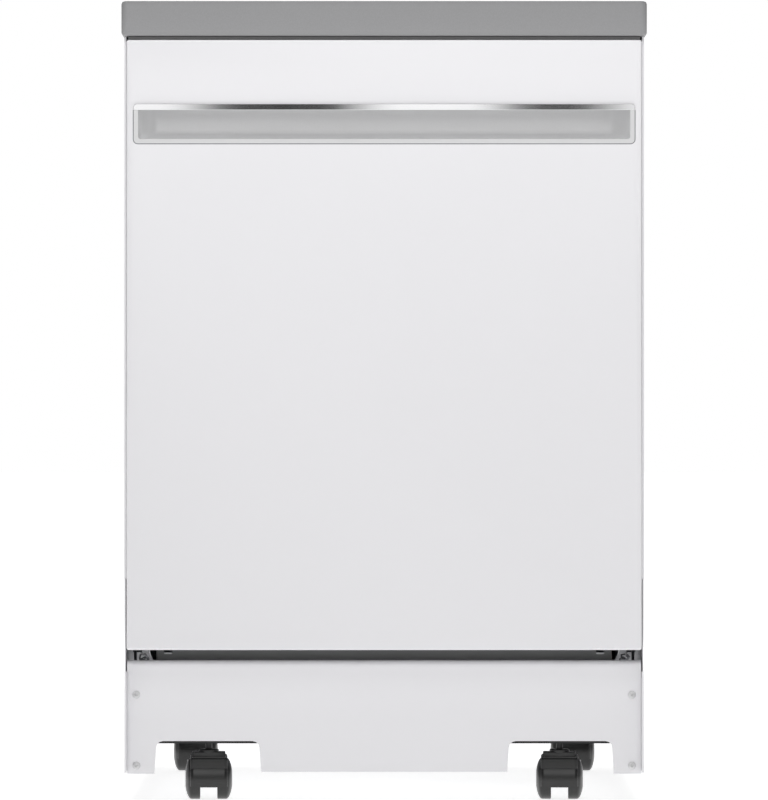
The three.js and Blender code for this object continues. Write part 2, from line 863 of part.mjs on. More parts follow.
// Spray arm: a long blade with a hub, raised jets and a bore between two heights.
function sprayArm(name, radius, bottom, boreRadius, boreHeights) {
  const [hub, tip] = [armHubWidth / 2, armTipWidth / 2];
  const blade = new THREE.Shape();
  blade.moveTo(hub * 0.8, -hub);
  blade.quadraticCurveTo(radius * 0.5, -hub * 0.5, radius - tip, -tip);
  blade.absarc(radius - tip, 0, tip, -Math.PI / 2, Math.PI / 2);
  blade.quadraticCurveTo(radius * 0.5, hub, hub * 0.8, hub);
  blade.lineTo(-hub * 0.8, hub);
  blade.quadraticCurveTo(-radius * 0.5, hub * 0.5, -radius + tip, tip);
  blade.absarc(-radius + tip, 0, tip, Math.PI / 2, 1.5 * Math.PI);
  blade.quadraticCurveTo(-radius * 0.5, -hub, -hub * 0.8, -hub);
  const wing = solid(easedAlongZ(blade, [bottom + 1, bottom + 1 + armThickness], 3, 1, 4));
  const boss = turned(
    [
      [0, bottom],
      [hub, bottom],
      [hub + 3, bottom + 3],
      [hub + 3, bottom + armThickness],
      [hub - 4, bottom + armThickness + armHubRise],
      [0, bottom + armThickness + armHubRise],
    ],
    12,
  );
  const jets = [-0.9, -0.6, -0.32, 0.32, 0.6, 0.9].map((share) =>
    turned(
      [
        [0, bottom + armThickness - 1],
        [4.5, bottom + armThickness - 1],
        [3, bottom + armThickness + 3],
        [0, bottom + armThickness + 3],
      ],
      5,
      [share * (radius - 10), Math.sin(share * 9) * 4, 0],
    ),
  );
  const bore = rod([0, 0, boreHeights[0]], [0, 0, boreHeights[1]], boreRadius / Math.cos(Math.PI / 10), 10);
  const mesh = part(name, cut(join(wing, boss, jets), bore), greyPlastic);
  mesh.position.y = armCentreY;
  return mesh;
}

// Water feed that climbs the back wall and runs forward under the ceiling.
function feedTube() {
  const half = feedWidth / 2;
  const back = tubBackY - seat;
  const front = back - feedThickness;
  const low = screenZ[1] + seat;
  const ceiling = tubCeiling - seat;
  const floorRun = alongX(
    outline([
      [sumpCentreY + sumpRadius + 2, low],
      [back - 6, low],
      [back, low + 6],
      [back, low + feedThickness + 4],
      [sumpCentreY + sumpRadius + 2, low + feedThickness],
    ]),
    [-half, half],
  );
  const climb = alongZ(
    roundedRect([-half, half], [front, back], 5),
    [low + 5, ceiling - 5],
  );
  const topRun = alongX(
    outline([
      [armCentreY - 16, ceiling],
      [armCentreY - 16, ceiling - feedThickness + 3],
      [front + 2, ceiling - feedThickness],
      [back, ceiling - feedThickness - 6],
      [back, ceiling - 6],
      [back - 6, ceiling],
    ]),
    [-half * 0.7, half * 0.7],
  );
  return part("feed_tube", join(floorRun, climb, topRun), greyPlastic);
}

// Fixed shower head on the ceiling.
function topSprayHead() {
  const top = tubCeiling - seat - feedThickness + 3 - seat;
  const head = turned(
    [
      [0, top - 12],
      [16, top - 12],
      [34, top - 6],
      [34, top - 3],
      [12, top],
      [0, top],
    ],
    16,
    [0, armCentreY, 0],
  );
  const jets = evenly(5, 0, 1.6 * Math.PI).map((turn) =>
    rod(
      [22 * Math.cos(turn), armCentreY + 22 * Math.sin(turn), top - 13],
      [22 * Math.cos(turn), armCentreY + 22 * Math.sin(turn), top - 8],
      2.4,
      6,
    ),
  );
  return part("top_spray_head", join(head, jets), greyPlastic);
}

// Heater rod: one open loop on supports just over the floor, its ends through the floor.
function heatingElement() {
  const [[endX, endY]] = heaterEnds;
  const [reachX, reachY] = [tubHalfWidth - 66, armCentreY - tubFrontY - 101];
  const loop = evenly(13, 0.42 * Math.PI, -1.42 * Math.PI).map((turn) => [
    reachX * Math.cos(turn),
    armCentreY - 4 + reachY * Math.sin(turn),
    heaterHeight,
  ]);
  const points = [[endX, endY, heaterHeight], ...loop, [-endX, endY, heaterHeight]];
  const risers = [endX, -endX].map((x) =>
    rod([x, endY, tubFloor - 14], [x, endY, heaterHeight], heaterRod, 8),
  );
  const feet = [-0.1, -0.5, -0.9].map((share) => {
    const turn = share * Math.PI;
    const [x, y] = [reachX * Math.cos(turn), armCentreY - 4 + reachY * Math.sin(turn)];
    return block([x - 4, x + 4], [y - 4, y + 4], [tubFloor + seat, heaterHeight]);
  });
  return part("heating_element", join(bentRod(points, heaterRod, 3, 28), risers, feet), zincSteel);
}

// Overfill float: a dome that lifts on a stem through the floor.
function floatDome() {
  const low = tubFloor + seat;
  return part(
    "float_dome",
    turned(
      [
        [0, low - 14],
        [3, low - 14],
        [3, low],
        [floatRadius, low],
        [floatRadius, low + floatHeight - 7],
        [floatRadius - 5, low + floatHeight - 1],
        [0, low + floatHeight],
      ],
      16,
      [floatX, floatY, 0],
    ),
    greyPlastic,
  );
}

// Circulation pump: volute against the sump's port, then the finned motor.
function washPump() {
  const fins = evenly(3, 46, 86).flatMap((x) => [
    [33, x],
    [36, x + 1],
    [36, x + 4],
    [33, x + 5],
  ]);
  return part(
    "wash_pump",
    turnedOnX(
      [
        [0, 0],
        [18, 0],
        [18, 8],
        [38, 12],
        [38, 32],
        [26, 36],
        ...fins,
        [33, 104],
        [22, 112],
        [0, 112],
      ],
      14,
      [pumpX + seat, sumpCentreY, pumpZ],
    ),
    blackPlastic,
  );
}

// Drain pump on the other side, with its outlet spigot pointing back.
function drainPump() {
  const body = turnedOnX(
    [
      [0, 0],
      [13, 0],
      [13, -6],
      [25, -8],
      [25, -26],
      [20, -28],
      [20, -62],
      [0, -62],
    ],
    16,
    [-pumpX - seat, sumpCentreY, drainZ],
  );
  const spigot = rod(
    [-pumpX - 18, sumpCentreY + 10, drainZ + 14],
    [-pumpX - 18, sumpCentreY + 52, drainZ + 14],
    8,
    10,
  );
  return part("drain_pump", join(body, spigot), blackPlastic);
}

// Water inlet valve on the left rail: body, solenoid and two ports.
function inletValve() {
  const x = -(innerCabinet - 0.4) + sideRailWidth / 2;
  const low = frameBottom + railRise + frameSteel + seat;
  const y = (springAnchor[0] + rearStemY - 24 - crossRailWidth / 2) / 2;
  const body = block([x - 12, x + 12], [y - 19, y + 19], [low, low + 30]);
  const coil = rod([x, y, low + 28], [x, y, low + 56], 14, 14);
  const ports = [
    rod([x, y + 15, low + 15], [x, y + 29, low + 15], 9, 10),
    rod([x, y - 15, low + 15], [x, y - 25, low + 15], 6, 10),
  ];
  return part("inlet_valve", join(body, coil, ports), greyPlastic);
}

// ---------------------------------------------------------------- racks

// A wire basket: crossed floor wires turned up at their ends, a rim and a middle ring.
function wireBasket(floor, rim, lengthwiseXs, crosswiseYs) {
  const level = floor + 1.6 * rackWire; // crosswise wires lie on the lengthwise ones
  const [half, front, back] = [rackHalfWidth, rackFront, rackBack];
  const middle = (floor + rim) / 2 + 6;
  const upright = rackWire * 0.86;
  const pieces = [];
  for (const x of lengthwiseXs) {
    pieces.push(
      rod([x, front - rackWire, floor], [x, back + rackWire, floor], rackWire),
      rod([x, front, floor - 0.5], [x, front, rim], upright),
      rod([x, back, floor - 0.5], [x, back, rim], upright),
    );
  }
  for (const y of crosswiseYs) {
    pieces.push(
      rod([-half - rackWire, y, level], [half + rackWire, y, level], rackWire),
      rod([-half, y, level - 0.5], [-half, y, rim], upright),
      rod([half, y, level - 0.5], [half, y, rim], upright),
    );
  }
  for (const [z, radius] of [
    [middle, rackWire],
    [rim, rimWire],
  ]) {
    pieces.push(
      rod([-half - radius, front, z], [half + radius, front, z], radius),
      rod([-half - radius, back, z], [half + radius, back, z], radius),
      rod([-half, front, z], [-half, back, z], radius * 0.94),
      rod([half, front, z], [half, back, z], radius * 0.94),
    );
  }
  return join(pieces);
}

// Tines standing on crosswise wires, all leaning back a little.
function tines(xs, ys, floor) {
  const level = floor + 1.6 * rackWire;
  return ys.flatMap((y) =>
    xs.map((x) => rod([x, y, level], [x, y + tineLean, level + tineHeight], rackWire * 0.8, 3)),
  );
}

const lowerCrossYs = evenly(6, rackFront + 42, rackBack - 42);
const lowerLengthXs = evenly(5, -rackHalfWidth + 46, rackHalfWidth - 46);
// The wheels sit midway between the last two crosswise wires at each end.
const wheelBays = [
  [lowerCrossYs[0], lowerCrossYs[1]],
  [lowerCrossYs[4], lowerCrossYs[5]],
];
const rackWheelYs = wheelBays.map(([near, far]) => (near + far) / 2);

function lowerRack() {
  const pieces = [wireBasket(lowerRackFloor, lowerRackRim, lowerLengthXs, lowerCrossYs)];
  const [, frontRow, middleRow, , backRow] = lowerCrossYs;
  pieces.push(...tines(evenly(5, -90, 200), [frontRow, middleRow], lowerRackFloor));
  pieces.push(...tines(evenly(7, -200, 200), [backRow], lowerRackFloor));
  for (const { side } of bothSides) {
    for (const [near, far] of wheelBays) {
      const y = (near + far) / 2;
      const inner = side * (rackHalfWidth - 2);
      pieces.push(
        block([inner, inner + side * 4.6], [near, far], [lowerRackFloor, lowerRackFloor + 7]),
        hull([
          ...[-12, 12].flatMap((dy) => [
            [inner, y + dy, lowerRackFloor + 4],
            [inner + side * 4.6, y + dy, lowerRackFloor + 4],
          ]),
          ...[-6, 6].flatMap((dy) => [
            [inner, y + dy, rackWheelZ - 6],
            [inner + side * 4.6, y + dy, rackWheelZ - 6],
          ]),
        ]),
        rod([inner, y, rackWheelZ], [side * (rackWheelX + rackWheelWidth / 2 + 2), y, rackWheelZ], 3, 8),
        rod(
          [side * (rackWheelX + rackWheelWidth / 2 + seat), y, rackWheelZ],
          [side * (rackWheelX + rackWheelWidth / 2 + 2), y, rackWheelZ],
          5,
          8,
        ),
      );
    }
  }
  return part("lower_rack", join(pieces), coatedWire);
}

// One of the lower rack's wheels, on its stub axle.
function rackWheel(side, y, name) {
  const half = rackWheelWidth / 2;
  const mesh = part(
    name,
    turnedOnX(
      [
        [3.4, -half],
        [rackWheelRadius - 2, -half],
        [rackWheelRadius, -half + 1.4],
        [rackWheelRadius, half - 1.4],
        [rackWheelRadius - 2, half],
        [3.4, half],
        [3.4, -half],
      ],
      14,
      [0, 0, 0],
    ),
    greyPlastic,
  );
  mesh.position.set(side * rackWheelX, y, rackWheelZ);
  return mesh;
}

// Upper rack with the roller carriers that run in the side tracks.
function upperRack() {
  const crossYs = evenly(5, rackFront + 50, rackBack - 50);
  const pieces = [wireBasket(upperRackFloor, upperRackRim, lowerLengthXs, crossYs)];
  const rollerRadius = trackHeight / 2 - 1.2 - seat;
  const rollerX = tubHalfWidth - trackDepth / 2;
  for (const { side } of bothSides) {
    const inner = side * (rackHalfWidth - 1);
    const outer = side * (rackHalfWidth + 3);
    pieces.push(
      block(
        [inner, outer],
        [rackRollerYs[0] - 16, rackRollerYs[1] + 16],
        [trackZ - 12, upperRackRim],
      ),
    );
    for (const y of rackRollerYs) {
      pieces.push(
        rod([inner, y, trackZ], [side * (rollerX + 4), y, trackZ], 3, 8),
        rod([side * (rollerX - 4), y, trackZ], [side * (rollerX + 4), y, trackZ], rollerRadius, 16),
      );
    }
  }
  return part("upper_rack", join(pieces), coatedWire);
}

// Fixed C-shaped track on each side wall of the tub.
function rackTrack({ side, label }) {
  const outer = side * (tubHalfWidth - seat);
  const inner = side * (tubHalfWidth - trackDepth);
  const web = outer - side * 1.5;
  const y = [tubFrontY + 4, tubBackY - 24];
  const [low, high] = [trackZ - trackHeight / 2, trackZ + trackHeight / 2];
  const channel = outline([
    [outer, low],
    [outer, high],
    [inner, high],
    [inner, high - 1.2],
    [web, high - 1.2],
    [web, low + 1.2],
    [inner, low + 1.2],
    [inner, low],
  ]);
  const stop = block([outer - side, inner + side], [y[1] - 3, y[1] - 1], [low + 0.6, high - 0.6]);
  return part("rack_track_" + label, join(alongY(channel, y), stop), tubSteel);
}

// Pipe under the upper rack that takes water from the back wall to the upper arm.
function upperManifold() {
  const [top, depth] = [manifoldTop, manifoldDepth];
  const back = tubBackY - seat - feedThickness - seat;
  const pipe = alongX(
    outline([
      [armCentreY - 20, top],
      [armCentreY - 20, top - depth + 4],
      [armCentreY + 20, top - depth],
      [back - 8, top - depth],
      [back, top - depth - 3],
      [back, top + 3],
      [back - 8, top],
    ]),
    [-13, 13],
  );
  const spigot = rod(
    [0, armCentreY, manifoldBottom - spigotLength],
    [0, armCentreY, manifoldBottom + 6],
    spigotRadius,
    12,
  );
  return part("upper_manifold", join(pipe, spigot), greyPlastic);
}

// Open cutlery basket: slotted walls, cells and a loop handle.
function cutleryBasket() {
  const [width, depth, height] = basketSize;
  const x0 = -rackHalfWidth + 8;
  const y0 = rackFront + 30;
  const low = lowerRackFloor + (1.6 + Math.SQRT1_2) * rackWire + seat;
  const pitch = (depth - basketWall) / basketCells;
  const cells = Array.from({ length: basketCells }, (_, i) =>
    block(
      [x0 + basketWall, x0 + width - basketWall],
      [y0 + basketWall + i * pitch, y0 + (i + 1) * pitch],
      [low + basketWall, low + height + 1],
    ),
  );
  const slots = Array.from({ length: basketCells * 2 }, (_, i) => {
    const y = y0 + basketWall + (Math.floor(i / 2) + (i % 2 ? 0.64 : 0.14)) * pitch;
    return block([x0 - 1, x0 + width + 1], [y, y + pitch * 0.2], [low + 22, low + height - 26]);
  });
  const box = block([x0, x0 + width], [y0, y0 + depth], [low, low + height]);
  const mid = x0 + width / 2;
  const handle = alongX(
    outline([
      [y0 + depth * 0.2, low + height - 6],
      [y0 + depth * 0.26, low + height + 42],
      [y0 + depth * 0.74, low + height + 42],
      [y0 + depth * 0.8, low + height - 6],
      [y0 + depth * 0.8 - 8, low + height - 6],
      [y0 + depth * 0.74 - 6, low + height + 35],
      [y0 + depth * 0.26 + 6, low + height + 35],
      [y0 + depth * 0.2 + 8, low + height - 6],
    ]),
    [mid - 5, mid + 5],
  );
  const bridge = block(
    [mid - 5, mid + 5],
    [y0 + depth * 0.2, y0 + depth * 0.8],
    [low + height - 8, low + height],
  );
  return part("cutlery_basket", join(cut(box, cells, slots), bridge, handle), greyPlastic);
}

// ---------------------------------------------------------------- door

// White outer pan: eased front edges, folded sides with a return hem, and the handle's cut-out.
function doorOuterPanel() {
  const half = doorHalfWidth;
  const face = roundedRect([-half, half], [doorBottomZ, doorTopZ], doorEdge + 0.6);
  const body = easedAlongZ(face, [0, doorPanDepth + doorEdge], doorEdge, 2).applyMatrix4(onY);
  const pan = solid(body.translate(0, doorFaceY + doorPanDepth + doorEdge, 0));
  const inner = block(
    [-half + sheet, half - sheet],
    [doorFaceY + sheet, doorFaceY + doorPanDepth - sheet],
    [doorBottomZ + sheet, doorTopZ - sheet],
  );
  const mouth = block(
    [-half + doorHem, half - doorHem],
    [doorFaceY + doorPanDepth / 2, doorFaceY + doorPanDepth + 10],
    [doorBottomZ + doorHem, doorTopZ - sheet],
  );
  const behind = block(
    [-half - 1, half + 1],
    [doorFaceY + doorPanDepth, doorFaceY + doorPanDepth + 10],
    [doorBottomZ - 1, doorTopZ + 1],
  );
  const topSlot = block(
    [-half + sheet, half - sheet],
    [doorFaceY + doorPanDepth - 6, doorFaceY + doorPanDepth + 1],
    [doorTopZ - sheet - 1, doorTopZ + 1],
  );
  const cutOut = alongY(
    roundedRect(
      [-bezelWidth / 2 + 3, bezelWidth / 2 - 3],
      [bezelBottomZ + 3, bezelTopZ - 3],
      bezelRadius,
    ),
    [doorFaceY - 1, doorFaceY + 3],
  );
  return part("door_outer_panel", cut(pan, inner, mouth, behind, topSlot, cutOut), whitePaint);
}

// Stainless inner door: a tray with a raised middle that faces into the tub.
function doorInnerPanel() {
  const half = innerHalfWidth;
  const wall = stainless;
  const frontY = doorFaceY + doorPanDepth - sheet - 3;
  const zs = [innerBottomZ, innerTopZ];
  const tray = cut(
    block([-half, half], [frontY, doorBackY], zs),
    block([-half + wall, half - wall], [frontY - 1, doorBackY - wall], [zs[0] + wall, zs[1] + 1]),
  );
  const plugZ = [innerBottomZ + plugLift, innerTopZ - 30];
  const frustum = (shrink, y0, y1) =>
    hull([
      ...[-1, 1].flatMap((side) =>
        plugZ.flatMap((z, i) => [
          [side * (plugHalfWidth - shrink), y0, z + (i ? -shrink : shrink)],
          [
            side * (plugHalfWidth - shrink - plugSlope),
            y1,
            z + (i ? -shrink - plugSlope : shrink + plugSlope),
          ],
        ]),
      ),
    ]);
  const plug = frustum(0, doorBackY - wall, plugFaceY);
  const hollow = frustum(wall, doorBackY - 2 * wall, plugFaceY - wall);
  const [dw, dh] = dispenserSize;
  const dispenserHole = block(
    [-dw / 2 + 8, dw / 2 - 8],
    [doorBackY - 10, plugFaceY + 5],
    [dispenserZ - dh / 2 + 6, dispenserZ + dh / 2 - 6],
  );
  const armSlots = [-1, 1].map((side) =>
    block(
      [side * (armPlateX[0] - 1.5), side * (armPlateX[1] + 0.5)],
      [hingeY - 17, hingeY + 14.5],
      [innerBottomZ - 1, innerBottomZ + wall + 1],
    ),
  );
  return part(
    "door_inner_panel",
    cut(join(tray, plug), hollow, dispenserHole, armSlots),
    tubSteel,
  );
}

// Section of the pocket's hollow: a scooped back, and finger room up behind the grip.
function pocketSection(grow) {
  const frontY = doorFaceY - bezelProud - 1;
  const deepY = doorFaceY + pocketDepth + grow;
  const shape = new THREE.Shape();
  shape.moveTo(frontY, mouthBottomZ - grow);
  shape.lineTo(doorFaceY + 4, mouthBottomZ - grow);
  shape.bezierCurveTo(
    doorFaceY + pocketDepth * 0.62 + grow,
    mouthBottomZ - grow,
    deepY,
    mouthBottomZ + 10 - grow,
    deepY,
    mouthBottomZ + 26,
  );
  shape.bezierCurveTo(
    deepY,
    mouthTopZ + fingerRoom * 0.7 + grow,
    deepY - 8,
    mouthTopZ + fingerRoom + grow,
    doorFaceY + 16,
    mouthTopZ + fingerRoom + grow,
  );
  shape.lineTo(doorFaceY + 7 - grow, mouthTopZ + fingerRoom - 5 + grow);
  shape.lineTo(doorFaceY + 5 - grow, mouthTopZ + 1 + grow);
  shape.lineTo(frontY, mouthTopZ + grow * 0.5);
  return shape;
}

// Silver pocket set into the door, with a narrow bezel round its mouth.
function handlePocket() {
  const ends = (grow) => {
    const wide = mouthHalfWidth + grow;
    const zs = [mouthBottomZ - 20, mouthTopZ + fingerRoom + 20];
    const near = doorFaceY - bezelProud - 2;
    const far = doorFaceY + pocketDepth + 3 * grow;
    return hull(
      zs.flatMap((z) => [
        [-wide, near, z],
        [wide, near, z],
        [-wide + pocketEndSlope, far, z],
        [wide - pocketEndSlope, far, z],
      ]),
    );
  };
  const hollow = alongX(pocketSection(0), [-bezelWidth / 2, bezelWidth / 2], 5).intersect(ends(0));
  const shellFull = alongX(pocketSection(pocketWall), [-bezelWidth / 2, bezelWidth / 2], 5).intersect(
    ends(pocketWall),
  );
  const shell = cut(
    shellFull,
    block([-bezelWidth, bezelWidth], [doorFaceY - 20, doorFaceY + 0.1], [0, overallHeight]),
  );
  const edgeWell = bezelRadius;
  const bezel = alongY(
    roundedRect([-bezelWidth / 2, bezelWidth / 2], [bezelBottomZ, bezelTopZ], edgeWell),
    [doorFaceY - bezelProud, doorFaceY - seat],
  );
  const collar = alongY(
    roundedRect(
      [-bezelWidth / 2 + 3 + seat, bezelWidth / 2 - 3 - seat],
      [bezelBottomZ + 3 + seat, bezelTopZ - 3 - seat],
      bezelRadius - seat,
    ),
    [doorFaceY - seat - 0.2, doorFaceY + sheet + 1],
  );
  const gripSeat = block(
    [-bezelWidth / 2 - 1, bezelWidth / 2 + 1],
    [doorFaceY - bezelProud - 2, doorFaceY - seat - 0.2],
    [mouthTopZ - seat, bezelTopZ + 1],
  );
  return part("handle_pocket", cut(join(bezel, collar, shell), hollow, gripSeat), silverPlastic);
}

// Bright grip strip along the pocket's top edge, rounded over its nose.
function handleGrip() {
  const back = doorFaceY - seat - 0.5;
  const nose = doorFaceY - gripProud;
  const middle = (mouthTopZ + bezelTopZ) / 2;
  const section = new THREE.Shape();
  section.moveTo(back, mouthTopZ);
  section.quadraticCurveTo(nose, mouthTopZ, nose, middle);
  section.quadraticCurveTo(nose, bezelTopZ, back, bezelTopZ);
  return part(
    "handle_grip",
    alongX(section, [-bezelWidth / 2, bezelWidth / 2], 4),
    chrome,
  );
}

// Black cap along the door's top edge: button holes, and the mouth for the strike.
function controlPanel() {
  const half = doorHalfWidth - sheet - seat;
  const y = [doorFaceY + doorPanDepth - 6 + seat, doorBackY];
  const shell = cut(
    block([-half, half], y, [controlBottomZ, doorTopZ]),
    block([-half + 2, half - 2], [y[0] + 2, y[1] - 2], [controlBottomZ - 1, doorTopZ - 2.4]),
  );
  // The lower front edge stands back from the pan's return hem.
  const hemRelief = block(
    [-half - 1, half + 1],
    [y[0] - 1, doorFaceY + doorPanDepth + seat],
    [controlBottomZ - 1, doorTopZ - sheet - seat],
  );
  const lip = block(
    [-half + doorHem, half - doorHem],
    [doorFaceY + doorPanDepth + seat, doorFaceY + doorPanDepth + seat + 2],
    [controlBottomZ, doorTopZ - 1],
  );
  const holes = buttonXs.map((x) =>
    block(
      [x - buttonSize[0] / 2 - 0.4, x + buttonSize[0] / 2 + 0.4],
      [buttonY - buttonSize[1] / 2 - 0.4, buttonY + buttonSize[1] / 2 + 0.4],
      [doorTopZ - 5, doorTopZ + 1],
    ),
  );
  const strikeMouth = block([-15, 15], [doorBackY - 4, doorBackY + 1], [strikeZ - 7, strikeZ + 7]);
  return part(
    "control_panel",
    cut(join(cut(shell, hemRelief), lip), holes, strikeMouth),
    blackPlastic,
  );
}

const buttonY = doorFaceY + doorPanDepth + 18;
const strikeZ = doorTopZ - 12;

function button(index) {
  const [width, depth] = buttonSize;
  const top = doorTopZ + buttonProud;
  const cap = easedAlongZ(
    roundedRect([-width / 2, width / 2], [-depth / 2, depth / 2], 2.4),
    [top - 4.6, top],
    0.6,
    1,
    2,
  );
  const skirt = block(
    [-width / 2 - 1.5, width / 2 + 1.5],
    [-depth / 2 - 1.5, depth / 2 + 1.5],
    [top - 5.4, top - 2.4 - buttonProud - seat],
  );
  const mesh = part("button_" + (index + 1), join(solid(cap), skirt), silverPlastic);
  mesh.position.set(buttonXs[index], buttonY, 0);
  return mesh;
}

// Circuit board behind the control panel, on its two standoffs.
function controlBoard() {
  const y = doorFaceY + doorPanDepth + seat + 6;
  const top = controlBottomZ + 20;
  const [left, , right] = buttonXs;
  const ends = [left - buttonSize[0], right + 1.4 * buttonSize[0]];
  const board = block(ends, [y, y + 1.6], [controlBottomZ + 2, top]);
  const chips = evenly(3, left - 4, right - 4).map((x) =>
    block([x - 8, x + 8], [y + 1.5, y + 5], [controlBottomZ + 6, controlBottomZ + 16]),
  );
  const standoffs = [ends[0] + 8, ends[1] - 8].map((x) =>
    rod([x, y - 4 + seat, top - 6], [x, y + 1, top - 6], 3, 8),
  );
  return part("control_board", join(board, chips, standoffs), boardGreen);
}

// Catch housing in the control panel, and the sprung lever that holds the strike.
const latchPivot = [doorBackY - 27, strikeZ + 5];
function latchHousing() {
  const y = [doorBackY - 35, doorBackY - 2 - seat];
  const z = [strikeZ - 11, strikeZ + 9];
  const box = block([-22, 22], y, z);
  const well = block([-12.5, 12.5], [y[0] + 3, y[1] + 1], [strikeZ - 7, strikeZ + 9 + 1]);
  const pin = rod([-14, ...latchPivot], [14, ...latchPivot], 1.6, 8);
  return part("latch_housing", join(cut(box, well), pin), greyPlastic);
}

function latchLever() {
  const [py, pz] = latchPivot;
  const eye = alongX(circle(py, pz, 3.4), [-8, 8], 5);
  const arm = alongX(
    outline([
      [py, pz - 2],
      [doorBackY - 13, pz - 2],
      [doorBackY - 11.5, strikeZ + strikeBump + seat],
      [doorBackY - 9.5, strikeZ + strikeBump + seat],
      [doorBackY - 7, pz + 1],
      [py, pz + 2],
    ]),
    [-8, 8],
  );
  const bore = rod([-10, py, pz], [10, py, pz], 1.9, 10);
  return part("latch_lever", cut(join(eye, arm), bore), zincSteel);
}

// Strike bolted to the tub's flange, with the bump that the lever drops behind.
function doorStrike() {
  const flange = tubFrontY - stainless - seat;
  const plate = block([-9, 9], [flange - 2, flange], [strikeZ - 5, strikeZ + 6]);
  const tongue = alongX(
    outline([
      [flange - 1, strikeZ - 4],
      [doorBackY - 22, strikeZ - 4],
      [doorBackY - 24, strikeZ - 2],
      [doorBackY - 21, strikeZ],
      [doorBackY - 18.5, strikeZ],
      [doorBackY - 16.5, strikeZ + strikeBump],
      [doorBackY - 15, strikeZ + strikeBump],
      [doorBackY - 13.5, strikeZ],
      [flange - 1, strikeZ],
    ]),
    [-7, 7],
  );
  return part("door_strike", join(plate, tongue), zincSteel);
}

// Hinge arm: a leg inside the door and a gooseneck that clears the skirt's rolled top,
// with the pivot eye at one end and the spring's eye on its back.
function hingeArm({ side, label }) {
  const span = armPlateX.map((x) => side * x);
  const at = (y, z) => [hingeY + y, hingeZ + z];
  const neckRoom = hingeDrop - 4;
  const leg = alongX(
    outline([
      at(-14, armLegHeight),
      at(-14, hingeDrop + 10),
      at(-3, hingeDrop - 1),
      at(0.5 * neckRoom, 0.9 * neckRoom),
      at(0.8 * neckRoom, 0.64 * neckRoom),
      at(0.98 * neckRoom, 0.34 * neckRoom),
      at(8, 5),
      at(0, -9),
      at(neckRoom, -8),
      at(neckRoom + 7, 0),
      at(neckRoom + 8, 14),
      at(12, hingeDrop + 5),
      at(12, armLegHeight),
    ]),
    span,
  );
  const eye = alongX(circle(hingeY, hingeZ, 10), span, 8);
  const [tailY, tailZ] = springHook;
  const tailEye = alongX(circle(tailY, tailZ, 7), span, 6);
  // Foot that fastens to the tray's back wall.
  const foot = block(
    [side * armPlateX[0], side * (armPlateX[0] - 12)],
    [hingeY + 9, hingeY + 12],
    [hingeZ + armLegHeight - 60, hingeZ + armLegHeight - 20],
  );
  const reach = [side * (armPlateX[0] - 5), side * (armPlateX[1] + 5)];
  const holes = [
    alongX(circle(hingeY, hingeZ, hingePin + seat), reach, 8),
    alongX(circle(tailY, tailZ, springPin + 0.8), reach, 5),
  ];
  return part("hinge_arm_" + label, cut(join(leg, eye, tailEye, foot), holes), zincSteel);
}

// Counterbalance spring: a coil with a hook into the arm's tail and another into the frame.
function doorSpring({ side, label }) {
  const from = new THREE.Vector3(side * springX, ...springHook);
  const to = new THREE.Vector3(side * springX, ...springAnchor);
  const axis = to.clone().sub(from).normalize();
  const length = from.distanceTo(to);
  const across = new THREE.Vector3(1, 0, 0);
  const up = axis.clone().cross(across);
  const at = (distance, turn, radius) =>
    from
      .clone()
      .addScaledVector(axis, distance)
      .addScaledVector(across, radius * Math.cos(turn))
      .addScaledVector(up, radius * Math.sin(turn))
      .toArray();
  const [turns, coilStart, coilEnd, coilRadius] = [8, 60, length - 40, 5];
  const coil = Array.from({ length: turns * 5 + 1 }, (_, i) =>
    at(coilStart + ((coilEnd - coilStart) * i) / (turns * 5), (i * Math.PI) / 2.5, coilRadius),
  );
  const points = [at(0, 0, 0), at(30, 0, 0), at(coilStart - 12, 0, 0), ...coil];
  points.push(at(coilEnd + 12, 0, 0), at(length - 14, 0, 0), at(length, 0, 0));
  const wire = bentRod(points, 1.2, 2, turns * 5 + 14);
  const pins = [springHook, springAnchor].map(([y, z]) =>
    rod([side * (springX - 1.5), y, z], [side * (armPlateX[1] + 1.5), y, z], springPin, 6),
  );
  return part("door_spring_" + label, join(wire, pins), zincSteel);
}

// Dispenser body: flange on the inner door, detergent cup and rinse-aid port.
const [dispenserWidth, dispenserHeight] = dispenserSize;
const cupX = [-dispenserWidth / 2 + 14, -dispenserWidth / 2 + 14 + cupSize[0]];
const cupZ = [dispenserZ - cupSize[1] / 2, dispenserZ + cupSize[1] / 2];
const dispenserFaceY = plugFaceY + seat + dispenserProud;
const rinseX = dispenserWidth / 4 + 2;
const flapHinge = [dispenserFaceY + seat + flapThickness / 2, cupZ[0] - 6];

function dispenserHousing() {
  const flange = alongY(
    roundedRect(
      [-dispenserWidth / 2, dispenserWidth / 2],
      [dispenserZ - dispenserHeight / 2, dispenserZ + dispenserHeight / 2],
      8,
    ),
    [plugFaceY + seat, dispenserFaceY],
  );
  const body = block(
    [-dispenserWidth / 2 + 9, dispenserWidth / 2 - 9],
    [dispenserFaceY - cupDepth - 8, dispenserFaceY - 1],
    [dispenserZ - dispenserHeight / 2 + 7, dispenserZ + dispenserHeight / 2 - 7],
  );
  const cup = block(cupX, [dispenserFaceY - cupDepth, dispenserFaceY + 1], cupZ);
  const port = rod(
    [rinseX, dispenserFaceY - 12, dispenserZ],
    [rinseX, dispenserFaceY + 1, dispenserZ],
    rinseCapRadius - 4,
    16,
  );
  return part("dispenser_housing", cut(join(flange, body), cup, port), greyPlastic);
}

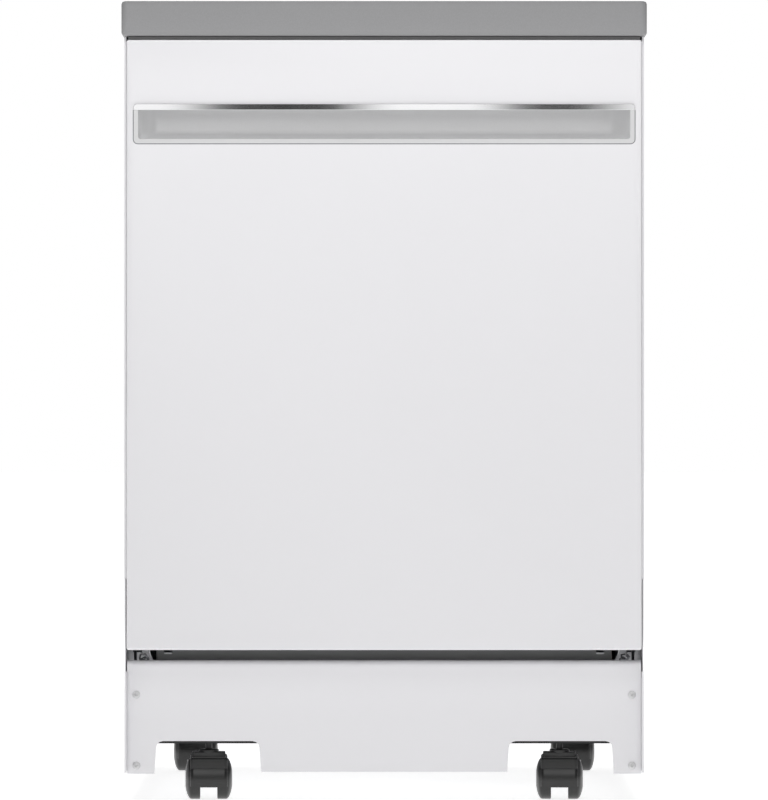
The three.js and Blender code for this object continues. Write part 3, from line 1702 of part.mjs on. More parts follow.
// Flap over the detergent cup, hinged along its bottom edge.
function dispenserFlap() {
  const y = [dispenserFaceY + seat, dispenserFaceY + seat + flapThickness];
  const plate = alongY(
    roundedRect([cupX[0] - 4, cupX[1] + 4], [flapHinge[1], cupZ[1] + 5], 1.2),
    y,
  );
  const knuckle = rod(
    [cupX[0] - 2, ...flapHinge],
    [cupX[1] + 2, ...flapHinge],
    flapThickness / 2 + 0.05,
    8,
  );
  const rib = block([cupX[0] + 10, cupX[1] - 10], [y[1] - 0.5, y[1] + 2], [cupZ[1] - 6, cupZ[1] - 3]);
  return part("dispenser_flap", join(plate, knuckle, rib), greyPlastic);
}

// Quarter-turn rinse-aid cap with a grip bar.
function rinseCap() {
  const y = dispenserFaceY + seat;
  const disc = rod([rinseX, y, dispenserZ], [rinseX, y + 3, dispenserZ], rinseCapRadius, 20);
  const plug = rod([rinseX, y - 8, dispenserZ], [rinseX, y + 1, dispenserZ], rinseCapRadius - 4.8, 16);
  const grip = block([rinseX - 12, rinseX + 12], [y + 2, y + 6], [dispenserZ - 2, dispenserZ + 2]);
  return part("rinse_aid_cap", join(disc, plug, grip), blackPlastic);
}

// ---------------------------------------------------------------- storage bin

// Plastic bin let into the back panel, with the gland where the cord and hoses come out.
function hoseBin() {
  const outer = backY + seat + 2;
  const inner = outer - binDepth;
  const [half, low, high] = [binWidth / 2 - seat, binBottom + seat, binBottom + binHeight - seat];
  const rim = alongY(
    roundedRect(
      [-binWidth / 2 - binRim, binWidth / 2 + binRim],
      [binBottom - binRim, binBottom + binHeight + binRim],
      14,
    ),
    [backY + seat, outer],
  );
  const box = alongY(roundedRect([-half, half], [low, high], 10 - seat), [inner, outer]);
  const hollow = alongY(
    roundedRect([-half + binWall, half - binWall], [low + binWall, high - binWall], 8),
    [inner + binWall, outer + 1],
  );
  const gland = (x, radius) =>
    rod([x, inner, low + 60], [x, inner + binWall + 8, low + 60], radius, 12);
  const bore = (x, radius) =>
    rod([x, inner - 1, low + 60], [x, inner + binWall + 10, low + 60], radius, 10);
  return part(
    "hose_bin",
    cut(join(cut(join(rim, box), hollow), gland(-90, 11), gland(60, 26)), bore(-90, 5), bore(60, 21)),
    blackPlastic,
  );
}

// ---------------------------------------------------------------- casters

// Hood over the wheels, in the caster's own frame: stem on Z, rolling towards -Y.
function casterHood(name) {
  const [axleY, axleZ] = [casterTrail, wheelRadius];
  const lipTurn = Math.asin((hoodLipHeight - axleZ) / hoodOuter);
  const rearTurn = 0.78 * Math.PI;
  const arc = (radius, from, to, count) =>
    evenly(count, from, to).map((turn) => [
      axleY - radius * Math.cos(turn),
      axleZ + radius * Math.sin(turn),
    ]);
  const fender = alongX(
    outline([...arc(hoodOuter, lipTurn, rearTurn, 9), ...arc(hoodInner, rearTurn, lipTurn, 9)]),
    [-hoodWidth / 2, hoodWidth / 2],
  );
  const webHalf = wheelGap / 2 - 0.9;
  const web = alongX(
    outline([
      ...arc(hoodOuter - 1.4, lipTurn, rearTurn, 6),
      [axleY + 16, axleZ - 6],
      [axleY + 2, axleZ - 11.5],
    ]),
    [-webHalf, webHalf],
  );
  // Shoulder: a square block round the stem, whose front runs down into the fender.
  const shoulder = alongX(
    outline([
      [shoulderReach, shoulderZ[1]],
      [-shoulderReach, shoulderZ[1]],
      [-shoulderReach, shoulderZ[0]],
      [-shoulderReach + 1, shoulderZ[0] - 1],
      ...arc(hoodOuter - 0.6, 0.06 * Math.PI, 0.42 * Math.PI, 5),
    ]),
    [-shoulderWidth / 2, shoulderWidth / 2],
  );
  const collar = rod([0, 0, shoulderZ[1] - 2], [0, 0, hoodCollarZ], collarRadius, 12);
  const stemHole = rod(
    [0, 0, shoulderZ[0] - 3 - seat],
    [0, 0, hoodCollarZ + 1],
    stemRadius + seat,
    10,
  );
  const axleHole = rod([-20, axleY, axleZ], [20, axleY, axleZ], axleRadius + seat, 8);
  return part(name, cut(join(fender, web, shoulder, collar), stemHole, axleHole), casterPlastic);
}

// Both wheels on their axle. A flat of the tread faces the floor.
function casterWheels(name) {
  const outer = wheelGap / 2 + wheelWidth;
  const corner = wheelRadius / Math.cos(Math.PI / wheelSides);
  const [across, inRadius] = wheelDome;
  const dome = (side) =>
    [0, 0.3, 0.65, 1].map((share) => [
      corner - inRadius * (1 - Math.sqrt(1 - share * share)),
      side * (outer - across * (1 - share)),
    ]);
  const wheel = (side) =>
    turnedOnX(
      [[0, (side * wheelGap) / 2], [corner, (side * wheelGap) / 2], ...dome(side), [0, side * outer]],
      wheelSides,
      [0, 0, 0],
      Math.PI / wheelSides,
    );
  const axle = rod([-wheelGap / 2 - 2, 0, 0], [wheelGap / 2 + 2, 0, 0], axleRadius, 10);
  const mesh = part(name, join(wheel(-1), wheel(1), axle), casterPlastic);
  mesh.position.set(0, casterTrail, wheelRadius);
  return mesh;
}

function caster({ name, x, y, yaw }) {
  const made = group(casterHood("caster_hood_" + name), casterWheels("caster_wheels_" + name));
  made.position.set(x, y, 0);
  made.rotation.z = THREE.MathUtils.degToRad(yaw);
  return made;
}

// ---------------------------------------------------------------- assembly

const cabinet = group(
  worktop(),
  bothSides.map(sidePanel),
  backPanel(),
  kickPanel(),
  baseFrame(),
  topRail(),
  tub(),
  gasket(),
  sump(),
  filterScreen(),
  filterCup(),
  feedTube(),
  topSprayHead(),
  heatingElement(),
  floatDome(),
  washPump(),
  drainPump(),
  inletValve(),
  doorStrike(),
  bothSides.map(doorSpring),
  bothSides.map(rackTrack),
  hoseBin(),
  sprayArm("lower_spray_arm", lowerArmRadius, lowerArmBottom, postRadius + 0.5, [
    lowerArmBottom - 1,
    lowerArmBottom + 11,
  ]),
);

const upperArmTop = manifoldBottom - 5;
const upperRackGroup = group(
  upperRack(),
  upperManifold(),
  sprayArm(
    "upper_spray_arm",
    upperArmRadius,
    upperArmTop - armThickness - armHubRise,
    spigotRadius + 0.5,
    [upperArmTop - spigotLength + 5 - seat, upperArmTop + 1],
  ),
);

const lowerRackGroup = group(
  lowerRack(),
  cutleryBasket(),
  bothSides.flatMap(({ side, label }) =>
    rackWheelYs.map((y, i) => rackWheel(side, y, `rack_wheel_${i ? "rear" : "front"}_${label}`)),
  ),
);

const door = group(
  doorOuterPanel(),
  doorInnerPanel(),
  handlePocket(),
  handleGrip(),
  controlPanel(),
  controlBoard(),
  latchHousing(),
  latchLever(),
  bothSides.map(hingeArm),
  dispenserHousing(),
  dispenserFlap(),
  rinseCap(),
  buttonXs.map((_, i) => button(i)),
);

export default group(cabinet, door, upperRackGroup, lowerRackGroup, casters.map(caster));
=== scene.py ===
"""Looks for a portable dishwasher on casters: materials, fine pieces, light and camera.

Lengths are in metres in the part's own frame: +Z up, the door faces -Y, +X to its right.
"""

import json
import math

import bmesh
import bpy
from mathutils import Matrix, Vector


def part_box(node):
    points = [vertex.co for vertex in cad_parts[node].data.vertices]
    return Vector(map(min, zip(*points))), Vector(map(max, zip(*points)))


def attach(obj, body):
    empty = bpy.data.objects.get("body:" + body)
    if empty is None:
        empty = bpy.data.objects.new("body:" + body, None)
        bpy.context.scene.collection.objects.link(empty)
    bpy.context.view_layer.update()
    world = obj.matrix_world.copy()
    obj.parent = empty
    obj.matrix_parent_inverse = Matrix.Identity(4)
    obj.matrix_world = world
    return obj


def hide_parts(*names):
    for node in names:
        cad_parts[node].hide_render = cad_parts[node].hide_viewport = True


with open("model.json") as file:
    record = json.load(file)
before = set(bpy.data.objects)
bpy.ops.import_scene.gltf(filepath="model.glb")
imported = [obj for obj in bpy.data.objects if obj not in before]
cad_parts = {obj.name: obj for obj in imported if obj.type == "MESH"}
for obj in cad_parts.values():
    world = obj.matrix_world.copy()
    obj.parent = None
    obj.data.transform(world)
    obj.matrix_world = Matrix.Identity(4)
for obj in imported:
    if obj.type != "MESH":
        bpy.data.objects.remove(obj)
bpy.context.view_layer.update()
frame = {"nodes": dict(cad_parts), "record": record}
nodes = frame["nodes"]

# ------------------------------------------------------------------ sizes

MM = 0.001

# Shading and edges of every piece, with angles in degrees
SAME_POINT = 0.001 * MM  # closer points are one
WELD = 0.01 * MM
CREASE_ANGLE = 32
BEVEL_ANGLE = 40
CORNER_STEPS = 5  # of a rounded corner

# Camera: the photograph's eye, square on to the door.
EYE = (0.0, -7.046, 0.478)
IMAGE = (768, 800)
FOCAL_PX = 5658
SENSOR = 36.0
CENTRE_PX = (384.15, 400.0)

# Casters, in each caster's own frame: the stem on Z, the wheels trailing along +Y
CASTERS = {
    "front_left": (-0.2095, -0.285, 2),
    "front_right": (0.2095, -0.285, -2),
    "rear_left": (-0.243, 0.235, 0),
    "rear_right": (0.243, 0.235, 0),
}
TRAIL = 20 * MM
WHEEL_R = 25 * MM
WHEEL_IN = 10.2 * MM
WHEEL_OUT = 28.5 * MM
WHEEL_DOME = (8 * MM, 24 * MM)  # rounding of the outer face, across and in radius
WHEEL_EASE = 0.8 * MM  # chamfer of the inner edge
HUB_RADII = (7.4 * MM, 8.2 * MM)
HUB_DISH = 1.2 * MM
AXLE = (TRAIL, WHEEL_R)
AXLE_R = 3 * MM
HOOD_HALF = 22.25 * MM
HOOD_R = 29.6 * MM
HOOD_INNER = 27.0 * MM
HOOD_LIP_Z = 15.6 * MM
HOOD_REAR = 40  # degrees above the axle, behind it
HOOD_LIP = 180 - math.degrees(math.asin((HOOD_LIP_Z - WHEEL_R) / HOOD_R))
FENDER_EDGE = (4.5 * MM, 3 * MM)  # rounding of its sides, across and in radius
FENDER_BREAK = 155  # degrees round the axle, where the round front meets the flat brow
FENDER_TOP = 51.6 * MM
FENDER_STEP = (0.8 * MM, 0.3 * MM)  # from the round front to the brow's face
BROW_BACK = 98  # degrees round the axle, where the brow meets the fender's round top
BROW_END = 8 * MM
BROW_RADIUS = 3 * MM
WEB_NOTCH = 11.5 * MM  # radius round the axle, at the web's lower rear corner
WEB_HALF = WHEEL_IN - 0.8 * MM
BLOCK_HALF = 19.6 * MM
BLOCK_REACH = 12.4 * MM
BLOCK_Z = (53.6 * MM, 58 * MM)
COLLAR_Z = 61.2 * MM
COLLAR_R = 12 * MM
STEM_BORE = 4.3 * MM

# Pocket handle
POCKET_DEPTH = 36 * MM
POCKET_BORDER = 5.4 * MM
POCKET_END = 24 * MM  # run of each curved end
POCKET_CURVE = (24 * MM, 10.5 * MM)  # run and rise of the curve from the lower lip to the back
POCKET_LEAN = 4 * MM  # how much deeper the back is at its top
POCKET_BEND = 9 * MM  # radius from the back into the roof
POCKET_WALL = 1 * MM
POCKET_LIP = 1.2 * MM
FINGER_ROOM = 14 * MM
BEZEL_PROUD = 1.6 * MM
BEZEL_RADIUS = 5 * MM
# Dark ring under the bezel's edge: a painted shadow line that stands in for the gap round the
# bezel
SHADOW_LINE_PROUD = 0.4 * MM
SHADOW_LINE_GROW = 0.9 * MM  # how far the dark ring shows round the bezel, a painted shadow line
GRIP_CORNER = 4 * MM
GRIP_CHAMFER = 0.2 * MM

# Rubber strip on the tub's sill, with a notch on each side for the rack's wheels; its dark band
# also stands in for the shade in the gap under the door (painted shade)
SILL_HALF = 0.272
SILL_TOP = 0.181
SILL_FOOT = 9 * MM  # over the tub's underside
SILL_REACH = (-1.2 * MM, 0.7 * MM)  # before and behind the tub's front
NOTCH_X = (0.2533, 0.2628)
NOTCH_Z = 0.1745

# Rubber strip under the worktop, over the door's top edge; a dark strip that stands in for the
# shade of the gap there (painted shade)
TOP_SEAL_GAP = 0.4 * MM  # to the door's top edge
TOP_SEAL_INSET = 2 * MM  # from the door's sides
TOP_SEAL_DEPTHS = (4 * MM, 9 * MM)  # of its bulb and its foot, behind the door's face

# Studio
ROOM_LIGHT = 0.06
FLOOR_GLOW = 0.8
FLOOR_FADE = (1.2, 3.0)  # from the faint shadow's reach out to plain white
LIGHTS = [
    ("front", (0, -4.6, 2.5), (0, 0, 0.5), (3.0, 2.4), 44),
    ("brow", (0, -1.25, 1.75), (0, -0.355, 0.85), (2.6, 0.5), 8.5),
    ("left", (-3.4, -1.5, 1.6), (0, 0, 0.5), (1.6, 2.4), 5),
    ("right", (3.4, -1.5, 1.6), (0, 0, 0.5), (1.6, 2.4), 5),
    ("back", (0, 4.2, 2.2), (0, 0, 0.5), (3.0, 2.0), 30),
    ("overhead", (0, 0.9, 2.9), (0, 0.1, 0.9), (2.0, 1.6), 18),
]
BOARD_PLACE = (0, -3.9, 1.0)
BOARD_SIZE = (1.5, 0.9)
# Each stripe's dark run, from and to, and its soft edges before and after
BOARD_STRIPES = [(-0.262, -0.108, 0.145, 0.125), (0.285, 0.335, 0.135, 0.155)]
STRIPE_LEVEL = 0.045

# Glands of the hose bin: place across and radius of the bore, and height over the bin's underside
GLANDS = [(-0.090, 5 * MM), (0.060, 21 * MM)]
GLAND_RISE = 72.3 * MM
GLAND_SINK = 4 * MM  # the diaphragms' place behind the bin's inner face

# Screws: places, and each head's radius and height
SKIRT_SCREW_X = 0.2943
SKIRT_SCREW_Z = (0.1279, 0.0438)
SKIRT_HEAD = (4.8 * MM, 3.2 * MM)
BACK_FACE = 0.345  # the back panel's outside, beside its beads
BACK_SCREW_INSET = (0.010, 0.03)  # from the panel's sides, and from its ends
BACK_HEAD = (4 * MM, 2 * MM)

# Racks
RACK_HALF = 0.246
RACK_FRONT = -0.262
RACK_BACK = 0.236
WIRE = 1.9 * MM
RIM_WIRE = 2.7 * MM
LOWER_FLOOR = 0.222
LOWER_RIM = 0.332
UPPER_FLOOR = 0.484
UPPER_RIM = 0.602
BEND = 0.012
CORNER = 0.03
TINE_HEIGHT = 0.084
TINE_LEAN = 0.008
TINE_WIRE = 0.9 * WIRE
CUP_TINE = (0.01, 0.06)  # lean and height of a tine of the upper rack
RING_RISE = 0.006  # of the middle ring over half the rack's height
SIDE_GAP = 0.046  # from a rack's side to its first wire lengthwise
LOWER_GAP = 0.042  # from the lower rack's ends to its first cross wires
UPPER_GAP = 0.05

# Wheel brackets of the lower rack, and the stubs that the wheels turn on
BRACKET_Z = (0.229, 0.222, 0.1883)  # top, shoulder and foot
BRACKET_HALF = (0.012, 0.006)  # half length at the shoulder and at the foot
BRACKET_THICK = 4.6 * MM
STUB_Z = 0.1943
STUB_END = 0.264
STUB_R = (3 * MM, 4.8 * MM)  # of the stub and of its head
STUB_HEAD = 1.7 * MM

# Roller carriers of the upper rack
CARRIER_Y = (0.134, 0.222)
CARRIER_Z = (0.560, 0.602)
ROLLER_Y = (0.150, 0.206)
ROLLER_Z = 0.572
ROLLER = (9.4 * MM, 0.268, 0.276)  # radius, inner and outer face
ROLLER_AXLE = (3 * MM, 0.246, 0.27)

# ------------------------------------------------------------------ materials


class Shader:
    """A node-based material with a few ready-made textures."""

    def __init__(self, name, color, roughness, metallic=0.0, **sockets):
        self.material = bpy.data.materials.new(name)
        self.material.use_nodes = True
        self.tree = self.material.node_tree
        self.bsdf = self.tree.nodes["Principled BSDF"]
        self.color = (*color, 1.0)
        self.roughness = roughness
        self.bsdf.inputs["Base Color"].default_value = self.color
        self.bsdf.inputs["Roughness"].default_value = roughness
        self.bsdf.inputs["Metallic"].default_value = metallic
        for socket, value in sockets.items():
            self.bsdf.inputs[socket.replace("_", " ")].default_value = value
        self.material.diffuse_color = self.color
        self.last_normal = None

    def node(self, kind, **settings):
        made = self.tree.nodes.new(kind)
        for key, value in settings.items():
            setattr(made, key, value)
        return made

    def link(self, source, target):
        self.tree.links.new(source, target)

    def coordinates(self, stretch=(1, 1, 1)):
        place = self.node("ShaderNodeTexCoord")
        mapping = self.node("ShaderNodeMapping")
        mapping.inputs["Scale"].default_value = stretch
        self.link(place.outputs["Object"], mapping.inputs["Vector"])
        return mapping.outputs["Vector"]

    def noise(self, scale, detail=3.0, stretch=(1, 1, 1)):
        made = self.node("ShaderNodeTexNoise")
        made.inputs["Scale"].default_value = scale
        made.inputs["Detail"].default_value = detail
        self.link(self.coordinates(stretch), made.inputs["Vector"])
        return made.outputs["Fac"]

    def spread(self, source, low, high):
        """Maps a noise's middle range onto low..high."""
        made = self.node("ShaderNodeMapRange")
        made.inputs["From Min"].default_value = 0.15
        made.inputs["From Max"].default_value = 0.85
        made.inputs["To Min"].default_value = low
        made.inputs["To Max"].default_value = high
        self.link(source, made.inputs["Value"])
        return made.outputs["Result"]

    def vary_roughness(self, scale, amount, stretch=(1, 1, 1)):
        fac = self.noise(scale, stretch=stretch)
        low, high = self.roughness - amount, self.roughness + amount
        self.link(self.spread(fac, low, high), self.bsdf.inputs["Roughness"])
        return self

    def vary_color(self, scale, dark, light, detail=3.0, stretch=(1, 1, 1)):
        fac = self.spread(self.noise(scale, detail, stretch), 0.0, 1.0)
        mix = self.node("ShaderNodeMix", data_type="RGBA")
        colors = [socket for socket in mix.inputs if socket.type == "RGBA"]
        colors[0].default_value = (*[c * dark for c in self.color[:3]], 1)
        colors[1].default_value = (*[min(c * light, 1) for c in self.color[:3]], 1)
        self.link(fac, mix.inputs[0])
        result = [socket for socket in mix.outputs if socket.type == "RGBA"][0]
        self.link(result, self.bsdf.inputs["Base Color"])
        return self

    def bump(self, scale, depth, stretch=(1, 1, 1)):
        made = self.node("ShaderNodeBump")
        made.inputs["Strength"].default_value = 1.0
        made.inputs["Distance"].default_value = depth
        self.link(self.noise(scale, 2.0, stretch), made.inputs["Height"])
        if self.last_normal is not None:
            self.link(self.last_normal, made.inputs["Normal"])
        self.last_normal = made.outputs["Normal"]
        self.link(self.last_normal, self.bsdf.inputs["Normal"])
        return self


def enamel():
    made = Shader("white_enamel", (0.82, 0.815, 0.835), 0.34, Coat_Weight=0.2, Coat_Roughness=0.15)
    made.vary_roughness(9, 0.03)
    made.vary_color(2, 0.996, 1.004)
    return made.bump(420, 0.000012).bump(60, 0.00001).material


def laminate():
    made = Shader("grey_laminate", (0.275, 0.275, 0.28), 0.52)
    made.vary_color(900, 0.93, 1.07, detail=4.0)
    made.vary_roughness(40, 0.05)
    return made.bump(700, 0.00003).material


def chrome():
    made = Shader("bright_chrome", (0.93, 0.93, 0.94), 0.06, 1.0)
    made.vary_roughness(30, 0.015)
    return made.bump(9, 0.00001).material


# Lighter than the bezel's lacquer: painted light that lifts the shade inside the pocket
def lightened_silver():
    made = Shader("lightened_silver_lacquer", (0.75, 0.75, 0.755), 0.4, 0.1)
    made.vary_roughness(25, 0.03)
    made.vary_color(1800, 0.93, 1.07)
    return made.bump(1500, 0.000006).material


def rim_lacquer():
    """The bezel's lacquer, smoother than the scoop's and darker, since the scoop's lighter tone is
    painted light that lifts the shade inside the pocket.
    """
    made = Shader("rim_lacquer", (0.67, 0.67, 0.675), 0.34, 0.1)
    made.vary_roughness(25, 0.03)
    made.vary_color(1800, 0.96, 1.03)
    return made.bump(1500, 0.000006).material


def stainless():
    """Tub and inner door: sheet steel with a fine grain along X."""
    grain = (0.25, 1, 9)
    made = Shader("brushed_stainless", (0.70, 0.71, 0.72), 0.3, 0.72)
    made.vary_roughness(60, 0.05, grain)
    made.vary_color(40, 0.94, 1.05, stretch=grain)
    return made.bump(220, 0.000003, stretch=grain).material


# Darker than bare zinc plate, so the hinge arms and springs in the gap under the door read dark:
# painted shade
def zinc():
    made = Shader("zinc_plate", (0.2, 0.205, 0.215), 0.5, 1.0)
    made.vary_roughness(70, 0.08)
    made.vary_color(24, 0.82, 1.12)
    return made.bump(300, 0.00002).material


def moulded(name, color, roughness, grain=900, depth=0.00003):
    made = Shader(name, color, roughness)
    made.vary_roughness(35, 0.05)
    made.vary_color(14, 0.93, 1.07)
    return made.bump(grain, depth).bump(30, 0.00004).material


def nylon():
    """Moulded wheels and hoods: nearly black, with a dull sheen."""
    made = Shader("black_nylon", (0.01, 0.01, 0.0098), 0.32, Specular_IOR_Level=0.62)
    made.vary_roughness(35, 0.04)
    made.vary_color(14, 0.93, 1.07)
    return made.bump(1400, 0.00002).material


def strip_rubber(name, level):
    made = Shader(name, (level, level, level), 0.62, Specular_IOR_Level=0.3)
    made.vary_roughness(35, 0.05)
    return made.bump(1100, 0.00003).material


def circuit():
    made = Shader("solder_mask", (0.02, 0.11, 0.045), 0.35)
    made.vary_color(160, 0.6, 1.4)
    return made.bump(260, 0.00006).material


MATERIALS = {
    "white_paint": enamel(),
    "laminate": laminate(),
    "chrome": chrome(),
    "silver_plastic": lightened_silver(),
    "tub_steel": stainless(),
    "zinc_steel": zinc(),
    "black_steel": moulded("black_coated_steel", (0.02, 0.02, 0.021), 0.4, 260, 0.00004),
    "black_plastic": moulded("black_moulding", (0.018, 0.018, 0.02), 0.42),
    "caster_plastic": nylon(),
    "grey_plastic": moulded("grey_polypropylene", (0.36, 0.37, 0.39), 0.45, 700, 0.00002),
    "coated_wire": moulded("nylon_coating", (0.34, 0.35, 0.37), 0.36, 500, 0.00004),
    "rubber": moulded("seal_rubber", (0.014, 0.014, 0.015), 0.6, 1100, 0.00004),
    "board": circuit(),
}
RIM_LACQUER = rim_lacquer()
# Rubber of the sill strip, whose grey also stands in for the shade in the gap under the door:
# painted shade
SILL_SHADE_RUBBER = strip_rubber("sill_shade_rubber", 0.26)
# Darker than the sill's rubber to stand in for the shade under the worktop: painted shade
TOP_SHADE_RUBBER = strip_rubber("top_shade_rubber", 0.13)

# ------------------------------------------------------------------ mesh tools


def smoothing_group():
    """Geometry nodes that weld a mesh and keep only its real corners sharp."""
    group = bpy.data.node_groups.new("smooth_by_angle", "GeometryNodeTree")
    group.interface.new_socket("Geometry", in_out="INPUT", socket_type="NodeSocketGeometry")
    group.interface.new_socket("Geometry", in_out="OUTPUT", socket_type="NodeSocketGeometry")
    new = group.nodes.new
    start, end = new("NodeGroupInput"), new("NodeGroupOutput")
    bare = new("GeometryNodeRemoveAttribute")
    bare.inputs["Name"].default_value = "custom_normal"
    weld = new("GeometryNodeMergeByDistance")
    weld.inputs["Distance"].default_value = WELD
    smooth = new("GeometryNodeSetShadeSmooth")
    crease = new("GeometryNodeSetShadeSmooth")
    crease.domain = "EDGE"
    crease.inputs["Shade Smooth"].default_value = False
    angle = new("GeometryNodeInputMeshEdgeAngle")
    above = new("FunctionNodeCompare")
    above.data_type = "FLOAT"
    above.operation = "GREATER_THAN"
    above.inputs["B"].default_value = math.radians(CREASE_ANGLE)
    link = group.links.new
    link(start.outputs[0], bare.inputs["Geometry"])
    link(bare.outputs["Geometry"], weld.inputs["Geometry"])
    link(weld.outputs["Geometry"], smooth.inputs["Geometry"])
    link(smooth.outputs["Geometry"], crease.inputs["Geometry"])
    link(angle.outputs["Unsigned Angle"], above.inputs["A"])
    link(above.outputs["Result"], crease.inputs["Selection"])
    link(crease.outputs["Geometry"], end.inputs[0])
    return group


SMOOTHING = smoothing_group()


def smooth(obj):
    obj.modifiers.new("smooth_by_angle", "NODES").node_group = SMOOTHING


def add_object(name, data, slot, body, finish=None):
    made = bpy.data.objects.new(name, data)
    bpy.context.scene.collection.objects.link(made)
    made.data.materials.append(finish or MATERIALS[slot])
    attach(made, body)
    return made


def mesh_object(name, bm, slot, body, bevel=0.0, segments=2, finish=None):
    """A piece from a bmesh, with its edges eased by a bevel and shaded smooth."""
    bmesh.ops.remove_doubles(bm, verts=bm.verts, dist=SAME_POINT)
    bmesh.ops.recalc_face_normals(bm, faces=bm.faces)
    mesh = bpy.data.meshes.new(name)
    bm.to_mesh(mesh)
    bm.free()
    made = add_object(name, mesh, slot, body, finish)
    if bevel:
        ease = made.modifiers.new("eased_edges", "BEVEL")
        ease.width = bevel
        ease.segments = segments
        ease.limit_method = "ANGLE"
        ease.angle_limit = math.radians(BEVEL_ANGLE)
    smooth(made)
    return made


def lathe(bm, profile, matrix, steps):
    """Turns a closed profile of (radius, height) about Z, then places it."""
    rings = []
    for i in range(steps):
        turn = 2 * math.pi * i / steps
        c, s = math.cos(turn), math.sin(turn)
        rings.append([bm.verts.new(matrix @ Vector((r * c, r * s, h))) for r, h in profile])
    count = len(profile)
    for i in range(steps):
        a, b = rings[i], rings[(i + 1) % steps]
        for k in range(count):
            after = (k + 1) % count
            on_axis = profile[k][0] < SAME_POINT and profile[after][0] < SAME_POINT
            if not on_axis:
                bm.faces.new([a[k], a[after], b[after], b[k]])


def prism(bm, outline, span, place):
    """A solid between two copies of an outline; place maps (u, v, w) to a point."""
    ends = [[bm.verts.new(place(u, v, w)) for u, v in outline] for w in span]
    bm.faces.new(ends[0])
    bm.faces.new(reversed(ends[1]))
    count = len(outline)
    for k in range(count):
        bm.faces.new([ends[0][k], ends[1][k], ends[1][(k + 1) % count], ends[0][(k + 1) % count]])


def loft(bm, outlines, place):
    """A solid through several like outlines; each is (outline, w)."""
    rings = [[bm.verts.new(place(u, v, w)) for u, v in outline] for outline, w in outlines]
    count = len(rings[0])
    for a, b in zip(rings, rings[1:]):
        for k in range(count):
            bm.faces.new([a[k], b[k], b[(k + 1) % count], a[(k + 1) % count]])
    bm.faces.new(rings[0])
    bm.faces.new(reversed(rings[-1]))


def cuboid(bm, low, high):
    centre = [(a + b) / 2 for a, b in zip(low, high)]
    size = [abs(b - a) for a, b in zip(low, high)]
    matrix = Matrix.Translation(centre) @ Matrix.Diagonal((*size, 1))
    bmesh.ops.create_cube(bm, size=1.0, matrix=matrix)


def evenly(count, start, end):
    return [start + (end - start) * i / (count - 1) for i in range(count)]


def angles(count, start, end):
    """Even steps between two angles in degrees, as radians."""
    return [math.radians(turn) for turn in evenly(count, start, end)]


def arc(centre, radius, start, end, count):
    u, v = centre
    turns = angles(count, start, end)
    return [(u + radius * math.cos(t), v + radius * math.sin(t)) for t in turns]


def across(u, v, w):
    """Places an outline drawn in Y and Z, with its span along X."""
    return Vector((w, u, v))


def facing(u, v, w):
    """Places an outline drawn in X and Z, with its span along Y."""
    return Vector((u, w, v))


def turned(place, degrees, axis):
    """A matrix at a place, turned about one axis."""
    return Matrix.Translation(place) @ Matrix.Rotation(math.radians(degrees), 4, axis)


def wires(name, runs, slot, body):
    """One curve object of round wires. A run is (points, radius, closed)."""
    curve = bpy.data.curves.new(name, "CURVE")
    curve.dimensions = "3D"
    curve.bevel_depth = 1.0
    curve.bevel_resolution = 3
    curve.use_fill_caps = True
    for points, radius, closed in runs:
        spline = curve.splines.new("POLY")
        spline.points.add(len(points) - 1)
        for point, place in zip(spline.points, points):
            point.co = (*place, 1)
            point.radius = radius
        spline.use_cyclic_u = closed
        spline.use_smooth = True
    return add_object(name, curve, slot, body)


def rounded(points, radius, closed=False):
    """A polyline with each corner turned through a small arc."""
    steps = CORNER_STEPS
    made = []
    count = len(points)
    for i, point in enumerate(points):
        here = Vector(point)
        if not closed and i in (0, count - 1):
            made.append(tuple(here))
            continue
        before = Vector(points[i - 1]) - here
        after = Vector(points[(i + 1) % count]) - here
        reach = min(radius, before.length / 2, after.length / 2)
        a = here + before.normalized() * reach
        b = here + after.normalized() * reach
        for k in range(steps + 1):
            t = k / steps
            made.append(tuple((1 - t) ** 2 * a + 2 * t * (1 - t) * here + t * t * b))
    return made


# ------------------------------------------------------------------ casters


def caster_place(name):
    x, y, yaw = CASTERS[name]
    return turned((x, y, 0), yaw, "Z")


def wheel_profile(side):
    """Half section of one wheel, from its hub cap over the domed face to the tread."""
    inner, outer = side * WHEEL_IN, side * WHEEL_OUT
    bulge, in_radius = WHEEL_DOME
    dome = [
        (WHEEL_R - in_radius * (1 - math.sin(t)), outer - side * bulge * (1 - math.cos(t)))
        for t in angles(14, 20, 90)
    ]
    face = dome[0][1]
    dish = face - side * HUB_DISH
    cap = [(0.0, dish), (HUB_RADII[0], dish), (HUB_RADII[1], face)]
    back = [(WHEEL_R, inner + side * WHEEL_EASE), (WHEEL_R - WHEEL_EASE, inner), (0.0, inner)]
    return cap + dome + back


def caster_wheels(name):
    bm = bmesh.new()
    place = caster_place(name) @ turned((0, *AXLE), 90, "Y")
    for side in (-1, 1):
        lathe(bm, wheel_profile(side), place, 72)
    axle = [(0, -WHEEL_IN), (AXLE_R, -WHEEL_IN), (AXLE_R, WHEEL_IN), (0, WHEEL_IN)]
    lathe(bm, axle, place, 24)
    piece = mesh_object("wheels_" + name, bm, "caster_plastic", "caster_wheels_" + name)
    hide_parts("caster_wheels_" + name)


def hood_piece(name, kind, outline, half, ease):
    """Part of a hood: an outline seen from the side, as wide as twice half."""
    place = caster_place(name)
    bm = bmesh.new()
    prism(bm, outline, (-half, half), lambda u, v, w: place @ across(u, v, w))
    return mesh_object(kind + "_" + name, bm, "caster_plastic", "caster_hood_" + name, ease, 3)


